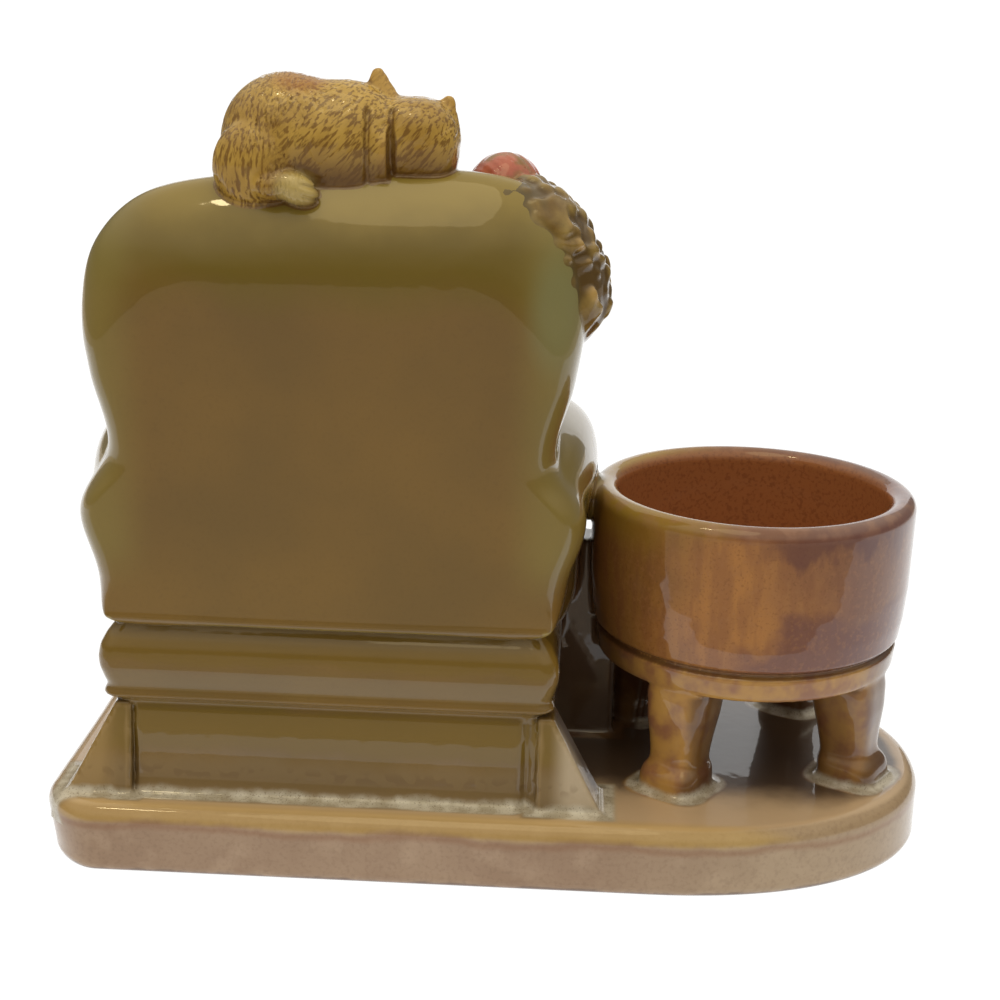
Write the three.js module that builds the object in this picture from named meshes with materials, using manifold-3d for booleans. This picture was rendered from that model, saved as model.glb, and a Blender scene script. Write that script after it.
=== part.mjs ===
// A glazed earthenware candle holder, seen from behind in its photograph: a stuffed armchair with
// a cat asleep along its back, a knitted shawl and a ball of wool on its shoulder, and a round tub
// on four stub legs that takes a tea light. It was cast and fired in one piece, so it is one solid.
// Millimetres. +Z is up, +X runs from the chair to the tub, and -Y is the side that shows the
// chair's back. The origin is the middle of the plinth's underside.
import * as THREE from "three";
import { ConvexGeometry } from "three/addons/geometries/ConvexGeometry.js";
import { mergeVertices } from "three/addons/utils/BufferGeometryUtils.js";
import Module from "manifold-3d";

const wasm = await Module();
wasm.setup();

const PLINTH = {
  width: 137.8,
  depth: 63,
  height: 10.8,
  rounding: 2.4,
  leftCorner: 10,
  nearRightCorner: [45, 32],
  farRightCorner: [37, 31],
  rightFullness: 2.2,
};

// The chair's widths are half widths, measured from its middle plane at x = CHAIR.x.
const CHAIR = {
  x: -24.75,
  back: -25.5,
  front: 19.5,
  backThickness: 19,
  waist: 33.4,
  shoulder: 36.8,
  armBulge: 38.1,
  ledge: 34.4,
  skirtTop: 26,
  bandTop: 38,
  armHeight: 59.4,
  armRoll: 8.6,
  armStart: 7,
  armFlare: 2.6,
  waistHeight: 64.4,
  shoulderHeight: 85.5,
  rollStart: 88.5,
  rollForward: 3.3,
  top: 105.2,
  tilt: 0.055,
};
const PLEAT = { inner: 30.3, foot: 41.2, depth: 8, shift: 0.9 };
const SEAT = { halfWidth: 23, back: -8.5, front: 20.4, top: 45.4, bottom: 36 };

const TUB = {
  x: 39.9,
  y: 3.5,
  rim: 55.4,
  bottom: 27.4,
  rimRadius: 25.7,
  footRadius: 24.2,
  recessRadius: 21.5,
  recessFloor: 37.4,
  groove: 32,
};
const LEGS = { ring: 20.7, setBack: 1.9, knee: 5.3, ankle: 4.1, foot: 5, turns: [-32, 58, 148, 238] };
const WEB = { x: 12.4, y: 8, halfWidth: 6.6, halfDepth: 4, top: 44.5 };

const CAT = { y: -13.5, top: 118.6, rump: -41.35, face: -7.1, tailRadius: 1.8 };
const COLLAR = { x: -17.95, z: 107.8, radius: 6.6, halfWidth: 1.15 };
const EAR = { tip: 0.6, root: 3.4, length: 5.4, flatness: 0.62 };
const SHAWL = { near: -20, far: -3.5, fold: -9.5, bobble: 0.6, bobblesAround: 14, bobbleBands: 5 };
const WOOL = { x: -0.5, y: -8, z: 101.9, radius: 5.7 };

// How far each standing piece runs down into the plinth that carries it.
const BEDDED = 2;
// Slivers thinner than this, which joining leaves along the seams, are closed up.
const SEAM = 0.05;

const GLAZE = { color: 0x7a6a35, roughness: 0.22, metalness: 0 };

function solid(geometry) {
  geometry.deleteAttribute("normal");
  geometry.deleteAttribute("uv");
  const bare = mergeVertices(geometry, 1e-4);
  return new wasm.Manifold(
    new wasm.Mesh({
      numProp: 3,
      vertProperties: bare.attributes.position.array,
      triVerts: new Uint32Array(bare.index.array),
    }),
  );
}

function join(solids) {
  return solids.reduce((whole, piece) => whole.add(piece));
}

// Moves every vertex of a geometry to where the function puts it.
function reshape(geometry, place) {
  const position = geometry.attributes.position;
  const v = new THREE.Vector3();
  for (let i = 0; i < position.count; i++) {
    v.fromBufferAttribute(position, i);
    place(v);
    position.setXYZ(i, v.x, v.y, v.z);
  }
  return geometry;
}

// A power that keeps the sign. A rounding error near zero counts as zero, so that seams still meet.
function power(value, exponent) {
  return Math.abs(value) < 1e-6 ? 0 : Math.sign(value) * Math.abs(value) ** exponent;
}

// An ellipsoid about a centre, leaning by turnY and turnZ degrees about Y and Z.
function egg([x, y, z], [rx, ry, rz], { turnY = 0, turnZ = 0, around = 12, rows = 8 } = {}) {
  const turn = new THREE.Euler(0, THREE.MathUtils.degToRad(turnY), THREE.MathUtils.degToRad(turnZ));
  const place = new THREE.Matrix4().compose(
    new THREE.Vector3(x, y, z),
    new THREE.Quaternion().setFromEuler(turn),
    new THREE.Vector3(rx, ry, rz),
  );
  return solid(new THREE.SphereGeometry(1, around, rows).applyMatrix4(place));
}

// The distance from a centre to a closed smooth outline through [x, z] points, by direction.
function outlineRadius(points, [cx, cz]) {
  const curve = new THREE.CatmullRomCurve3(
    points.map(([x, z]) => new THREE.Vector3(x, 0, z)),
    true,
    "centripetal",
  );
  const samples = curve
    .getPoints(400)
    .map((p) => ({ angle: Math.atan2(p.z - cz, p.x - cx), r: Math.hypot(p.x - cx, p.z - cz) }))
    .sort((a, b) => a.angle - b.angle);
  return (angle) => {
    const after = samples.findIndex((s) => s.angle >= angle);
    const b = samples[after < 0 ? 0 : after];
    const a = samples[(after < 0 ? samples.length : after || samples.length) - 1];
    const gap = (b.angle - a.angle + 2 * Math.PI) % (2 * Math.PI) || 1;
    const share = ((angle - a.angle + 2 * Math.PI) % (2 * Math.PI)) / gap;
    return a.r + (b.r - a.r) * THREE.MathUtils.clamp(share, 0, 1);
  };
}

// A pad whose outline lies in the XZ plane, from near to far along Y. A small edge exponent makes
// its section full, and a small crown exponent makes its two faces flat. relief, where given, lifts
// the surface by millimetres at a direction and a share of the way from far to near.
function pad(points, centre, [near, far], { edge, crown, around, rows, relief = () => 0 }) {
  const radius = outlineRadius(points, centre);
  const middle = (near + far) / 2;
  const half = (far - near) / 2;
  return reshape(new THREE.SphereGeometry(1, around, rows), (v) => {
    const ring = Math.hypot(v.x, v.z);
    const angle = ring < 1e-9 ? 0 : Math.atan2(v.z, v.x);
    const share = Math.acos(THREE.MathUtils.clamp(v.y, -1, 1)) / Math.PI;
    const lift = relief(angle, share) * ring;
    const out = radius(angle) * ring ** edge + lift;
    v.set(
      centre[0] + out * Math.cos(angle),
      middle + half * power(v.y, crown) + lift * v.y,
      centre[1] + out * Math.sin(angle),
    );
  });
}

// A post of rounded square section: rows of [z, half width, half depth, x, y] from bottom to top.
function post(rows, { corner, around }) {
  const last = rows.length - 1;
  const geometry = new THREE.CylinderGeometry(1, 1, last, around, last).rotateX(Math.PI / 2);
  return reshape(geometry, (v) => {
    const [z, halfWidth, halfDepth, x, y] = rows[Math.round(v.z + last / 2)];
    const ring = Math.hypot(v.x, v.y);
    const [c, s] = ring < 1e-9 ? [0, 0] : [v.x / ring, v.y / ring];
    v.set(x + ring * halfWidth * power(c, corner), y + ring * halfDepth * power(s, corner), z);
  });
}

// Tight corners beside the chair and a wide end under the tub, whose near side bows in early.
function plinth() {
  const { width, depth, height, rounding, leftCorner } = PLINTH;
  const { nearRightCorner, farRightCorner, rightFullness } = PLINTH;
  const steps = 9;
  const corners = [
    { x: -1, y: -1, reach: [leftCorner, leftCorner], fullness: 2 },
    { x: 1, y: -1, reach: nearRightCorner, fullness: rightFullness },
    { x: 1, y: 1, reach: farRightCorner, fullness: rightFullness },
    { x: -1, y: 1, reach: [leftCorner, leftCorner], fullness: 2 },
  ];
  const points = corners.flatMap(({ x, y, reach: [along, back], fullness }) =>
    Array.from({ length: steps + 1 }, (_, i) => {
      const turn = (Math.PI / 2) * ((x * y > 0 ? i : steps - i) / steps);
      const inX = along * (1 - power(Math.cos(turn), 2 / fullness));
      const inY = back * (1 - power(Math.sin(turn), 2 / fullness));
      return new THREE.Vector2(x * (width / 2 - inX), y * (depth / 2 - inY));
    }),
  );
  return solid(
    new THREE.ExtrudeGeometry(new THREE.Shape(points), {
      depth: height - 2 * rounding,
      bevelThickness: rounding,
      bevelSize: rounding,
      bevelOffset: -rounding,
      bevelSegments: 3,
    }).translate(0, 0, rounding),
  );
}

// The upright back: narrow at the waist, wide at the shoulders, with its top rolled to the seat and
// standing a little higher beside the tub.
function chairBack() {
  const half = [
    [12, CHAIR.bandTop - 0.6],
    [CHAIR.ledge - 1.5, CHAIR.bandTop - 0.4],
    [CHAIR.ledge, CHAIR.bandTop + 1],
    [CHAIR.ledge + 1.6, CHAIR.bandTop + 8],
    [CHAIR.armBulge, CHAIR.armHeight - 4.4],
    [CHAIR.waist, CHAIR.waistHeight],
    [CHAIR.shoulder - 1.1, CHAIR.shoulderHeight - 10],
    [CHAIR.shoulder, CHAIR.shoulderHeight],
    [CHAIR.shoulder - 2.2, CHAIR.top - 9.8],
    [CHAIR.shoulder - 9, CHAIR.top - 2.8],
    [8, CHAIR.top],
  ];
  const mirrored = half.map(([x, z]) => [-x, z]).reverse();
  const outline = [...half, ...mirrored].map(([x, z]) => [CHAIR.x + x, z]);
  const near = CHAIR.back - 0.6;
  const front = CHAIR.back + CHAIR.backThickness;
  const middle = (CHAIR.back + front) / 2;
  const centre = [CHAIR.x, 74];
  const upright = pad(outline, centre, [near, front], { edge: 0.24, crown: 0.5, around: 52, rows: 12 });
  return solid(
    reshape(upright, (v) => {
      const rise = Math.max(0, v.z - CHAIR.rollStart) / (CHAIR.top - CHAIR.rollStart);
      if (v.y < middle) v.y += CHAIR.rollForward * rise ** 2;
      v.z += CHAIR.tilt * (v.x - CHAIR.x) * Math.min(rise, 1);
    }),
  );
}

// One rolled arm, flaring towards its front: side is 1 for the arm beside the tub and -1 for the other.
function arm(side) {
  const { front, ledge, bandTop, armBulge, armHeight, armRoll, armFlare } = CHAIR;
  const start = CHAIR.back + CHAIR.armStart;
  const inner = armBulge - 2 * armRoll;
  const outline = [
    [ledge, bandTop - 3],
    [ledge + 1.8, bandTop + 8],
    [armBulge, armHeight - 0.5],
    [armBulge - 2.4, armHeight + 5.4],
    [armBulge - armRoll, armHeight + armRoll],
    [inner + 2, armHeight + 5.2],
    [inner, armHeight - 0.5],
    [inner + 0.8, bandTop + 10],
    [inner + 0.8, bandTop - 3],
  ].map(([x, z]) => [CHAIR.x + side * x, z]);
  const centre = [CHAIR.x + side * (inner + armRoll - 0.4), (bandTop + armHeight + armRoll) / 2 - 0.5];
  const roll = pad(outline, centre, [start, front], { edge: 0.3, crown: 0.45, around: 30, rows: 10 });
  return solid(
    reshape(roll, (v) => {
      v.x += side * armFlare * THREE.MathUtils.clamp((v.y - start) / (front - start), 0, 1);
    }),
  );
}

// The stuffed band and the skirt under it, as rows of the same rounded rectangle.
function chairBase() {
  const y = (CHAIR.back + CHAIR.front) / 2;
  const d = (CHAIR.front - CHAIR.back) / 2;
  const w = CHAIR.ledge;
  const rows = [
    [PLINTH.height - BEDDED, w - 0.2, d - 1.2],
    [CHAIR.skirtTop - 5, w, d - 0.9],
    [CHAIR.skirtTop - 1.6, w - 0.6, d - 1.6],
    [CHAIR.skirtTop - 0.5, w, d - 1.2],
    [CHAIR.skirtTop, w + 0.4, d - 0.3],
    [CHAIR.skirtTop + 4, w + 1, d + 0.2],
    [CHAIR.skirtTop + 7.5, w + 1, d + 0.2],
    [CHAIR.bandTop - 2.4, w - 0.2, d - 0.8],
    [CHAIR.bandTop - 1, w - 0.6, d - 1.4],
    [CHAIR.bandTop + 3, w - 1.2, d - 3],
  ].map((row) => [...row, CHAIR.x, y]);
  return solid(post(rows, { corner: 0.16, around: 32 }));
}

// A box pleat at a corner of the skirt, spreading towards the plinth.
function pleat(side, end) {
  const edgeY = end < 0 ? CHAIR.back : CHAIR.front;
  const topZ = CHAIR.skirtTop - 0.5;
  const footZ = PLINTH.height - BEDDED;
  const inY = edgeY - end * PLEAT.depth;
  const points = [
    [PLEAT.inner, edgeY - end * 1.2, topZ],
    [CHAIR.ledge + 0.4, edgeY - end * 1.2, topZ],
    [CHAIR.ledge + 0.4, inY, topZ],
    [PLEAT.inner, inY, topZ],
    [PLEAT.inner, edgeY + end, footZ],
    [PLEAT.foot, edgeY + end * 1.6, footZ],
    [PLEAT.foot - 1, inY, footZ],
    [PLEAT.inner, inY, footZ],
  ].map(([x, y, z]) => new THREE.Vector3(CHAIR.x + PLEAT.shift + side * x, y, z));
  return solid(new ConvexGeometry(points));
}

// A loose cushion, square in plan with soft corners and a crowned top.
function seatCushion() {
  const middle = (SEAT.back + SEAT.front) / 2;
  const depth = (SEAT.front - SEAT.back) / 2;
  const height = (SEAT.top - SEAT.bottom) / 2;
  return solid(
    reshape(new THREE.SphereGeometry(1, 24, 10), (v) => {
      const ring = Math.hypot(v.x, v.z) || 1;
      const spread = ring ** 0.4 / ring;
      v.set(
        CHAIR.x + SEAT.halfWidth * power(v.x * spread, 0.5),
        middle - depth * power(v.z * spread, 0.5),
        SEAT.bottom + height + height * power(v.y, 0.6),
      );
    }),
  );
}

// The tub, turned about its own axis: a groove near its foot, a rolled rim and the round recess.
function tub() {
  const { rim, bottom, rimRadius, footRadius, recessRadius, recessFloor, groove } = TUB;
  const profile = [
    [0, bottom],
    [footRadius - 2.2, bottom],
    [footRadius - 0.5, bottom + 0.7],
    [footRadius, bottom + 2.2],
    [footRadius, groove - 0.5],
    [footRadius - 0.7, groove],
    [footRadius + 0.1, groove + 0.6],
    [footRadius + 1.3, groove + 9],
    [rimRadius - 0.1, rim - 6],
    [rimRadius, rim - 2],
    [rimRadius - 0.8, rim - 0.5],
    [rimRadius - 2, rim],
    [recessRadius + 0.7, rim - 0.5],
    [recessRadius, rim - 2],
    [recessRadius, recessFloor + 2],
    [recessRadius - 1.2, recessFloor],
    [0, recessFloor],
  ].map(([r, z]) => new THREE.Vector2(r, z));
  return solid(new THREE.LatheGeometry(profile, 40).rotateX(Math.PI / 2).translate(TUB.x, TUB.y, 0));
}

// A stub leg: a knee under the tub's edge, a thin ankle, and a block of a foot set a little further out.
function leg(turn) {
  const { knee, ankle, foot, ring, setBack } = LEGS;
  const top = PLINTH.height;
  const rows = [
    [top - BEDDED, foot, foot, 0, -ring],
    [top + 2.6, foot, foot, 0, -ring],
    [top + 4.4, ankle + 0.2, ankle, 0, -ring + 0.4 * setBack],
    [top + 7.5, ankle + 0.2, ankle + 0.2, 0, -ring + 0.5 * setBack],
    [top + 12, knee - 0.3, knee - 0.2, 0, -ring + 0.8 * setBack],
    [top + 15, knee, knee, 0, -ring + setBack],
    [TUB.bottom + 2, knee, knee - 0.6, 0, -ring + setBack + 0.5],
  ];
  const upright = post(rows, { corner: 0.6, around: 14 });
  return solid(upright.rotateZ(THREE.MathUtils.degToRad(turn)).translate(TUB.x, TUB.y, 0));
}

// Where the arm and the tub were luted together.
function lug() {
  const x = (CHAIR.x + CHAIR.armBulge + TUB.x - TUB.rimRadius) / 2;
  return egg([x, TUB.y, TUB.rim - 2.6], [2.6, 4.4, 3.6]);
}

// The thick web of clay that closes the narrow space between the chair's side and the tub.
function web() {
  const { x, y, halfWidth, halfDepth, top } = WEB;
  const rows = [
    [PLINTH.height - BEDDED, halfWidth, halfDepth, x, y],
    [top - 1.6, halfWidth, halfDepth, x, y],
    [top, halfWidth - 1.2, halfDepth - 1.2, x, y],
  ];
  return solid(post(rows, { corner: 0.3, around: 16 }));
}

function ear([x, y, z], lean) {
  const cone = new THREE.CylinderGeometry(EAR.tip, EAR.root, EAR.length, 9).rotateX(Math.PI / 2);
  cone.scale(1, EAR.flatness, 1).rotateY(THREE.MathUtils.degToRad(lean));
  return solid(cone.translate(x, y, z));
}

function collar() {
  const { x, z, radius, halfWidth } = COLLAR;
  const profile = [
    [0, -halfWidth],
    [radius - 0.5, -halfWidth],
    [radius, -halfWidth * 0.4],
    [radius, halfWidth * 0.4],
    [radius - 0.5, halfWidth],
    [0, halfWidth],
  ].map(([r, h]) => new THREE.Vector2(r, h));
  const disc = new THREE.LatheGeometry(profile, 22).rotateZ(-Math.PI / 2).scale(1, 0.98, 0.94);
  return solid(disc.translate(x, CAT.y, z));
}

// The tail curls round the rump and along the seat side of the roll.
function tail() {
  const { rump, y, tailRadius } = CAT;
  const tip = new THREE.Vector3(rump + 22, y + 8.6, 103.8);
  const curve = new THREE.CatmullRomCurve3([
    new THREE.Vector3(rump + 3, y + 3, 106),
    new THREE.Vector3(rump + 5, y + 8.2, 104.7),
    new THREE.Vector3(rump + 13, y + 9.4, 103.8),
    tip,
  ]);
  const section = new THREE.Shape().absarc(0, 0, tailRadius, 0, 2 * Math.PI);
  const run = { steps: 10, curveSegments: 8, extrudePath: curve };
  const end = egg(tip.toArray(), [tailRadius, tailRadius, tailRadius], { around: 8, rows: 6 });
  return solid(new THREE.ExtrudeGeometry(section, run)).add(end);
}

// The cat lies along the top of the back, its head turned to the seat and one hind paw let down.
function cat() {
  const { y, top, rump, face } = CAT;
  const forms = {
    rump: egg([rump + 9.4, y, top - 10], [9.5, 8, 9.9], { turnY: 7, around: 24, rows: 16 }),
    chest: egg([-23.4, y, 108.4], [10.3, 7.2, 9.2], { turnY: 4, around: 22, rows: 14 }),
    thigh: egg([rump + 6.3, y - 4.8, 105.6], [6.7, 4.4, 6.9], { turnY: 14, around: 16, rows: 12 }),
    hock: egg([rump + 8.6, y - 7.5, 103.1], [3.1, 2.5, 2.1]),
    hindPaw: egg([rump + 11.9, y - 8, 102.9], [3.5, 2.4, 2.2], { turnY: 24 }),
    head: egg([face - 6.9, y + 0.6, 109.4], [6.9, 6.3, 6.1], { around: 22, rows: 14 }),
    cheek: egg([face - 3.1, y + 0.4, 108.1], [3.1, 5.2, 4.9], { around: 14, rows: 10 }),
    muzzle: egg([face - 6.7, y + 5.7, 107.7], [3.4, 2.5, 2.5]),
    foreleg: egg([-21.8, y + 5.4, 104.2], [7.6, 2.5, 2.3], { turnZ: 8 }),
    forepaw: egg([-15.1, y + 6.3, 104], [3.2, 2.2, 1.9], { around: 10 }),
    leftEar: ear([COLLAR.x - 0.6, y, 116.6], -6),
    rightEar: ear([face - 2.1, y, 113.1], 20),
    collar: collar(),
    tail: tail(),
  };
  return join(Object.values(forms));
}

// The shawl hangs over the shoulder beside the tub, knitted in rows of bobbles, with its other end
// let down in front of the back.
function shawl() {
  const over = [
    [-5.4, 100.8],
    [-1.4, 104.2],
    [5, 104.4],
    [10.5, 100.4],
    [14.1, 95],
    [15.8, 88.8],
    [14.9, 83.8],
    [11.6, 79.8],
    [7, 81.7],
    [3.8, 88.4],
    [-1, 96],
  ];
  const down = [
    [-4, 100],
    [4.2, 100.6],
    [9.6, 95],
    [10.4, 83.6],
    [9.6, 73.3],
    [5.6, 70.1],
    [0.6, 72.3],
    [-1.8, 83.6],
  ];
  const { near, far, fold, bobble, bobblesAround, bobbleBands } = SHAWL;
  const relief = (angle, share) =>
    bobble * Math.cos(bobblesAround * angle) * Math.cos(2 * Math.PI * bobbleBands * share);
  const knit = { edge: 0.4, crown: 0.6, around: 4 * bobblesAround, rows: 4 * bobbleBands, relief };
  const plain = { edge: 0.3, crown: 0.7, around: 24, rows: 8 };
  return join([
    solid(pad(over, [5.8, 91.6], [near, far], knit)),
    solid(pad(down, [3.8, 85.6], [fold, far + 1], plain)),
  ]);
}

function ballOfWool() {
  const { x, y, z, radius } = WOOL;
  return egg([x, y, z], [radius, radius, radius], { around: 20, rows: 14 });
}

const corners = [-1, 1].flatMap((side) => [-1, 1].map((end) => [side, end]));
const holder = join([
  plinth(),
  chairBase(),
  chairBack(),
  arm(1),
  arm(-1),
  seatCushion(),
  ...corners.map(([side, end]) => pleat(side, end)),
  tub(),
  ...LEGS.turns.map(leg),
  lug(),
  web(),
  cat(),
  shawl(),
  ballOfWool(),
])
  .asOriginal()
  .simplify(SEAM);

function meshOf(name, made, glaze) {
  const { vertProperties, triVerts } = made.getMesh();
  const geometry = new THREE.BufferGeometry();
  geometry.setAttribute("position", new THREE.BufferAttribute(vertProperties, 3));
  geometry.setIndex(new THREE.BufferAttribute(triVerts, 1));
  const mesh = new THREE.Mesh(geometry, new THREE.MeshStandardMaterial(glaze));
  mesh.name = name;
  return mesh;
}

const group = new THREE.Group();
group.add(meshOf("candle_holder", holder, GLAZE));

export default group;
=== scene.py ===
import math

import bpy
import numpy as np
from mathutils import Matrix, Vector


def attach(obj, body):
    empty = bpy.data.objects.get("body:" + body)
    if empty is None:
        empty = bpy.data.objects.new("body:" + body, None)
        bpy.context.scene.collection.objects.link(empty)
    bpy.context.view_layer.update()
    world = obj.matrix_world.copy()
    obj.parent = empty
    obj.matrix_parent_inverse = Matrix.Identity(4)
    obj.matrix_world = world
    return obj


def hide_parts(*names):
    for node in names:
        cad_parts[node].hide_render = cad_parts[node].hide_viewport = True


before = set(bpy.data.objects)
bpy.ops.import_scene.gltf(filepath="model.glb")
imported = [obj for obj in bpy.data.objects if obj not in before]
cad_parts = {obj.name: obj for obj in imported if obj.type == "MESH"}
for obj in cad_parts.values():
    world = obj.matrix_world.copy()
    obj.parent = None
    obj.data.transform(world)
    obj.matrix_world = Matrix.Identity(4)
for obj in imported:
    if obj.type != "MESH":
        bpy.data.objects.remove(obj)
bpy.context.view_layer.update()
MM = 0.001

# The camera stands close, thirteen centimetres above the table and a little to the tub's side of
# straight behind the chair. It looks down sixteen degrees and leans a little to one side. Its place is
# in millimetres and its angles are in degrees.
CAMERA_TARGET = (-0.65, 3.5, 51.11)
CAMERA_AZIMUTH = 2.5
CAMERA_ELEVATION = 16.41
CAMERA_LEAN = 1.45
CAMERA_DISTANCE = 282.9
LENS = 63.0
SENSOR = 36.0
NEAREST_SEEN = 10.0


def place_camera():
    azimuth, elevation, lean = map(math.radians, (CAMERA_AZIMUTH, CAMERA_ELEVATION, CAMERA_LEAN))
    level = math.cos(elevation)
    back = Vector((math.sin(azimuth) * level, -math.cos(azimuth) * level, math.sin(elevation)))
    right = Vector((math.cos(azimuth), math.sin(azimuth), 0))
    up = back.cross(right)
    leant_right = right * math.cos(lean) + up * math.sin(lean)
    leant_up = up * math.cos(lean) - right * math.sin(lean)
    place = (Vector(CAMERA_TARGET) + back * CAMERA_DISTANCE) * MM
    data = bpy.data.cameras.new("camera")
    data.lens = LENS
    data.sensor_width = SENSOR
    data.sensor_fit = "HORIZONTAL"
    data.clip_start = NEAREST_SEEN * MM
    camera = bpy.data.objects.new("camera", data)
    facing = Matrix((leant_right, leant_up, back)).transposed().to_4x4()
    camera.matrix_world = Matrix.Translation(place) @ facing
    bpy.context.scene.collection.objects.link(camera)
    bpy.context.scene.camera = camera


place_camera()


# The studio, in metres: a glowing white sheet that sweeps up behind the object, a wide dull table, a room
# that is dim low down and pale overhead, a warm soft box above and a small lamp beside it.
TABLE_SIZE = 3.4
TABLE_BELOW_SHEET = 0.001
TABLE_COLOUR = (0.72, 0.69, 0.7, 1)
SHEET_HALF_WIDTH = 0.45
SHEET_FRONT = -0.07
SHEET_BACK = 0.75
SHEET_SWEEP = 0.2
SHEET_TOP = 0.5
SWEEP_STEPS = 18
SHEET_COLOUR = (0.1, 0.1, 0.1, 1)
SHEET_GLOW = 1.02
WHITE = (1, 1, 1, 1)
# The room's light by height, from 0 at the horizon to 1 straight overhead.
WALL_LIGHT = (0.17, 0.16, 0.14, 1)
CEILING_LIGHT = (0.98, 0.88, 0.7, 1)
CEILING_STARTS = 0.2
CEILING_FULL = 0.75
# Each light's place, the point that it faces, its length and width, and its power in watts.
SOFT_BOX = ((-0.04, -0.2, 0.7), (-0.02, -0.02, 0.1), (0.26, 0.54), 0.5)
SMALL_LAMP = ((-0.25, -0.17, 0.8), (-0.04, -0.02, 0.1), (0.1, 0.05), 0.25)
LAMP_LIGHT = (1.0, 0.82, 0.46)
# Where Blender's Mix node keeps the amount and its two colours, and the mixed colour among its outputs.
MIX_AMOUNT, MIX_UNDER, MIX_OVER, MIXED = 0, 6, 7, 2


def soft_light(name, place, target, size, power):
    data = bpy.data.lights.new(name, "AREA")
    data.shape = "ELLIPSE"
    data.size, data.size_y = size
    data.energy = power
    data.color = LAMP_LIGHT
    light = bpy.data.objects.new(name, data)
    light.location = place
    light.rotation_euler = (Vector(target) - Vector(place)).to_track_quat("-Z", "Y").to_euler()
    bpy.context.scene.collection.objects.link(light)


def lay(name, half_width, profile, colour, glow):
    """A sheet as wide as twice half_width whose section is a profile of (y, z) points, in metres."""
    points = [(x, y, z) for y, z in profile for x in (-half_width, half_width)]
    faces = [(2 * i, 2 * i + 1, 2 * i + 3, 2 * i + 2) for i in range(len(profile) - 1)]
    mesh = bpy.data.meshes.new(name)
    mesh.from_pydata(points, [], faces)
    paper = bpy.data.materials.new(name)
    paper.use_nodes = True
    shader = paper.node_tree.nodes["Principled BSDF"].inputs
    shader["Base Color"].default_value = colour
    shader["Roughness"].default_value = 1.0
    shader["Specular IOR Level"].default_value = 0.0
    shader["Emission Color"].default_value = WHITE
    shader["Emission Strength"].default_value = glow
    mesh.materials.append(paper)
    sheet = bpy.data.objects.new(name, mesh)
    bpy.context.scene.collection.objects.link(sheet)


def light_room():
    """An even light from all round, dim near the floor and pale overhead."""
    world = bpy.data.worlds.new("room")
    world.use_nodes = True
    nodes, links = world.node_tree.nodes, world.node_tree.links
    height = nodes.new("ShaderNodeSeparateXYZ").outputs[2]
    links.new(nodes.new("ShaderNodeTexCoord").outputs["Generated"], height.node.inputs[0])
    rise = nodes.new("ShaderNodeMapRange")
    rise.interpolation_type = "SMOOTHSTEP"
    rise.inputs["From Min"].default_value = CEILING_STARTS
    rise.inputs["From Max"].default_value = CEILING_FULL
    links.new(height, rise.inputs["Value"])
    light = nodes.new("ShaderNodeMix")
    light.data_type = "RGBA"
    light.inputs[MIX_UNDER].default_value = WALL_LIGHT
    light.inputs[MIX_OVER].default_value = CEILING_LIGHT
    links.new(rise.outputs[0], light.inputs[MIX_AMOUNT])
    links.new(light.outputs[MIXED], nodes["Background"].inputs["Color"])
    bpy.context.scene.world = world


def set_studio():
    half = TABLE_SIZE / 2
    lay("table", half, ((-half, -TABLE_BELOW_SHEET), (half, -TABLE_BELOW_SHEET)), TABLE_COLOUR, 0)
    turns = [math.radians(90 * i / SWEEP_STEPS) for i in range(SWEEP_STEPS + 1)]
    sweep = [(SHEET_BACK + SHEET_SWEEP * math.sin(t), SHEET_SWEEP * (1 - math.cos(t))) for t in turns]
    profile = [(SHEET_FRONT, 0), *sweep, (SHEET_BACK + SHEET_SWEEP, SHEET_TOP)]
    lay("white_sheet", SHEET_HALF_WIDTH, profile, SHEET_COLOUR, SHEET_GLOW)
    light_room()
    soft_light("soft_box", *SOFT_BOX)
    soft_light("small_lamp", *SMALL_LAMP)
    bpy.context.scene.view_settings.view_transform = "Standard"


set_studio()


# Plinth: the slab that everything else stands on, one end tight at the corners and the other widely
# rounded. Poured in the same mould as the rest, with its top edge rolled over by hand before firing.
PLINTH_WIDTH = 137.8
PLINTH_DEPTH = 63.0
PLINTH_TOP = 10.8
PLINTH_TOP_EDGE = 2.7
PLINTH_FOOT_EDGE = 1.5
# The tight end slants in towards its foot. The slant sets in and is full at these distances from the end.
PLINTH_END_LEAN, LEAN_STARTS, LEAN_FULL = 0.12, 9, 2
# Each corner's sign along X and along Y, how far its curve reaches along each, and its fullness.
PLINTH_CORNERS = (
    (-1, -1, 10.0, 10.0, 2.0),
    (-1, 1, 10.0, 10.0, 2.0),
    (1, -1, 45.0, 32.0, 2.2),
    (1, 1, 37.0, 31.0, 2.2),
)
HAND_WOBBLE = 0.07
# The marks "pool" and "thin" are the hollows and edges that a fingertip of this radius feels, where a
# glaze gathers and where it runs thin. Coats laid by them are partly that glaze and partly painted shade in
# the hollows and painted highlights on the edges.
FINGER = 1.5
# The grid that a piece's skin is found on is worked out in blocks of so many cells, a batch of them at a
# time. A block is left out if its middle is further from the skin than its half diagonal, times a margin.
# The points of the skin are then drawn onto it in so many steps, each a part of a cell at most.
BLOCK = 8
BATCH = 500
BLOCK_MARGIN = 1.7
DRAWS = 4
LONGEST_DRAW = 0.6
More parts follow.
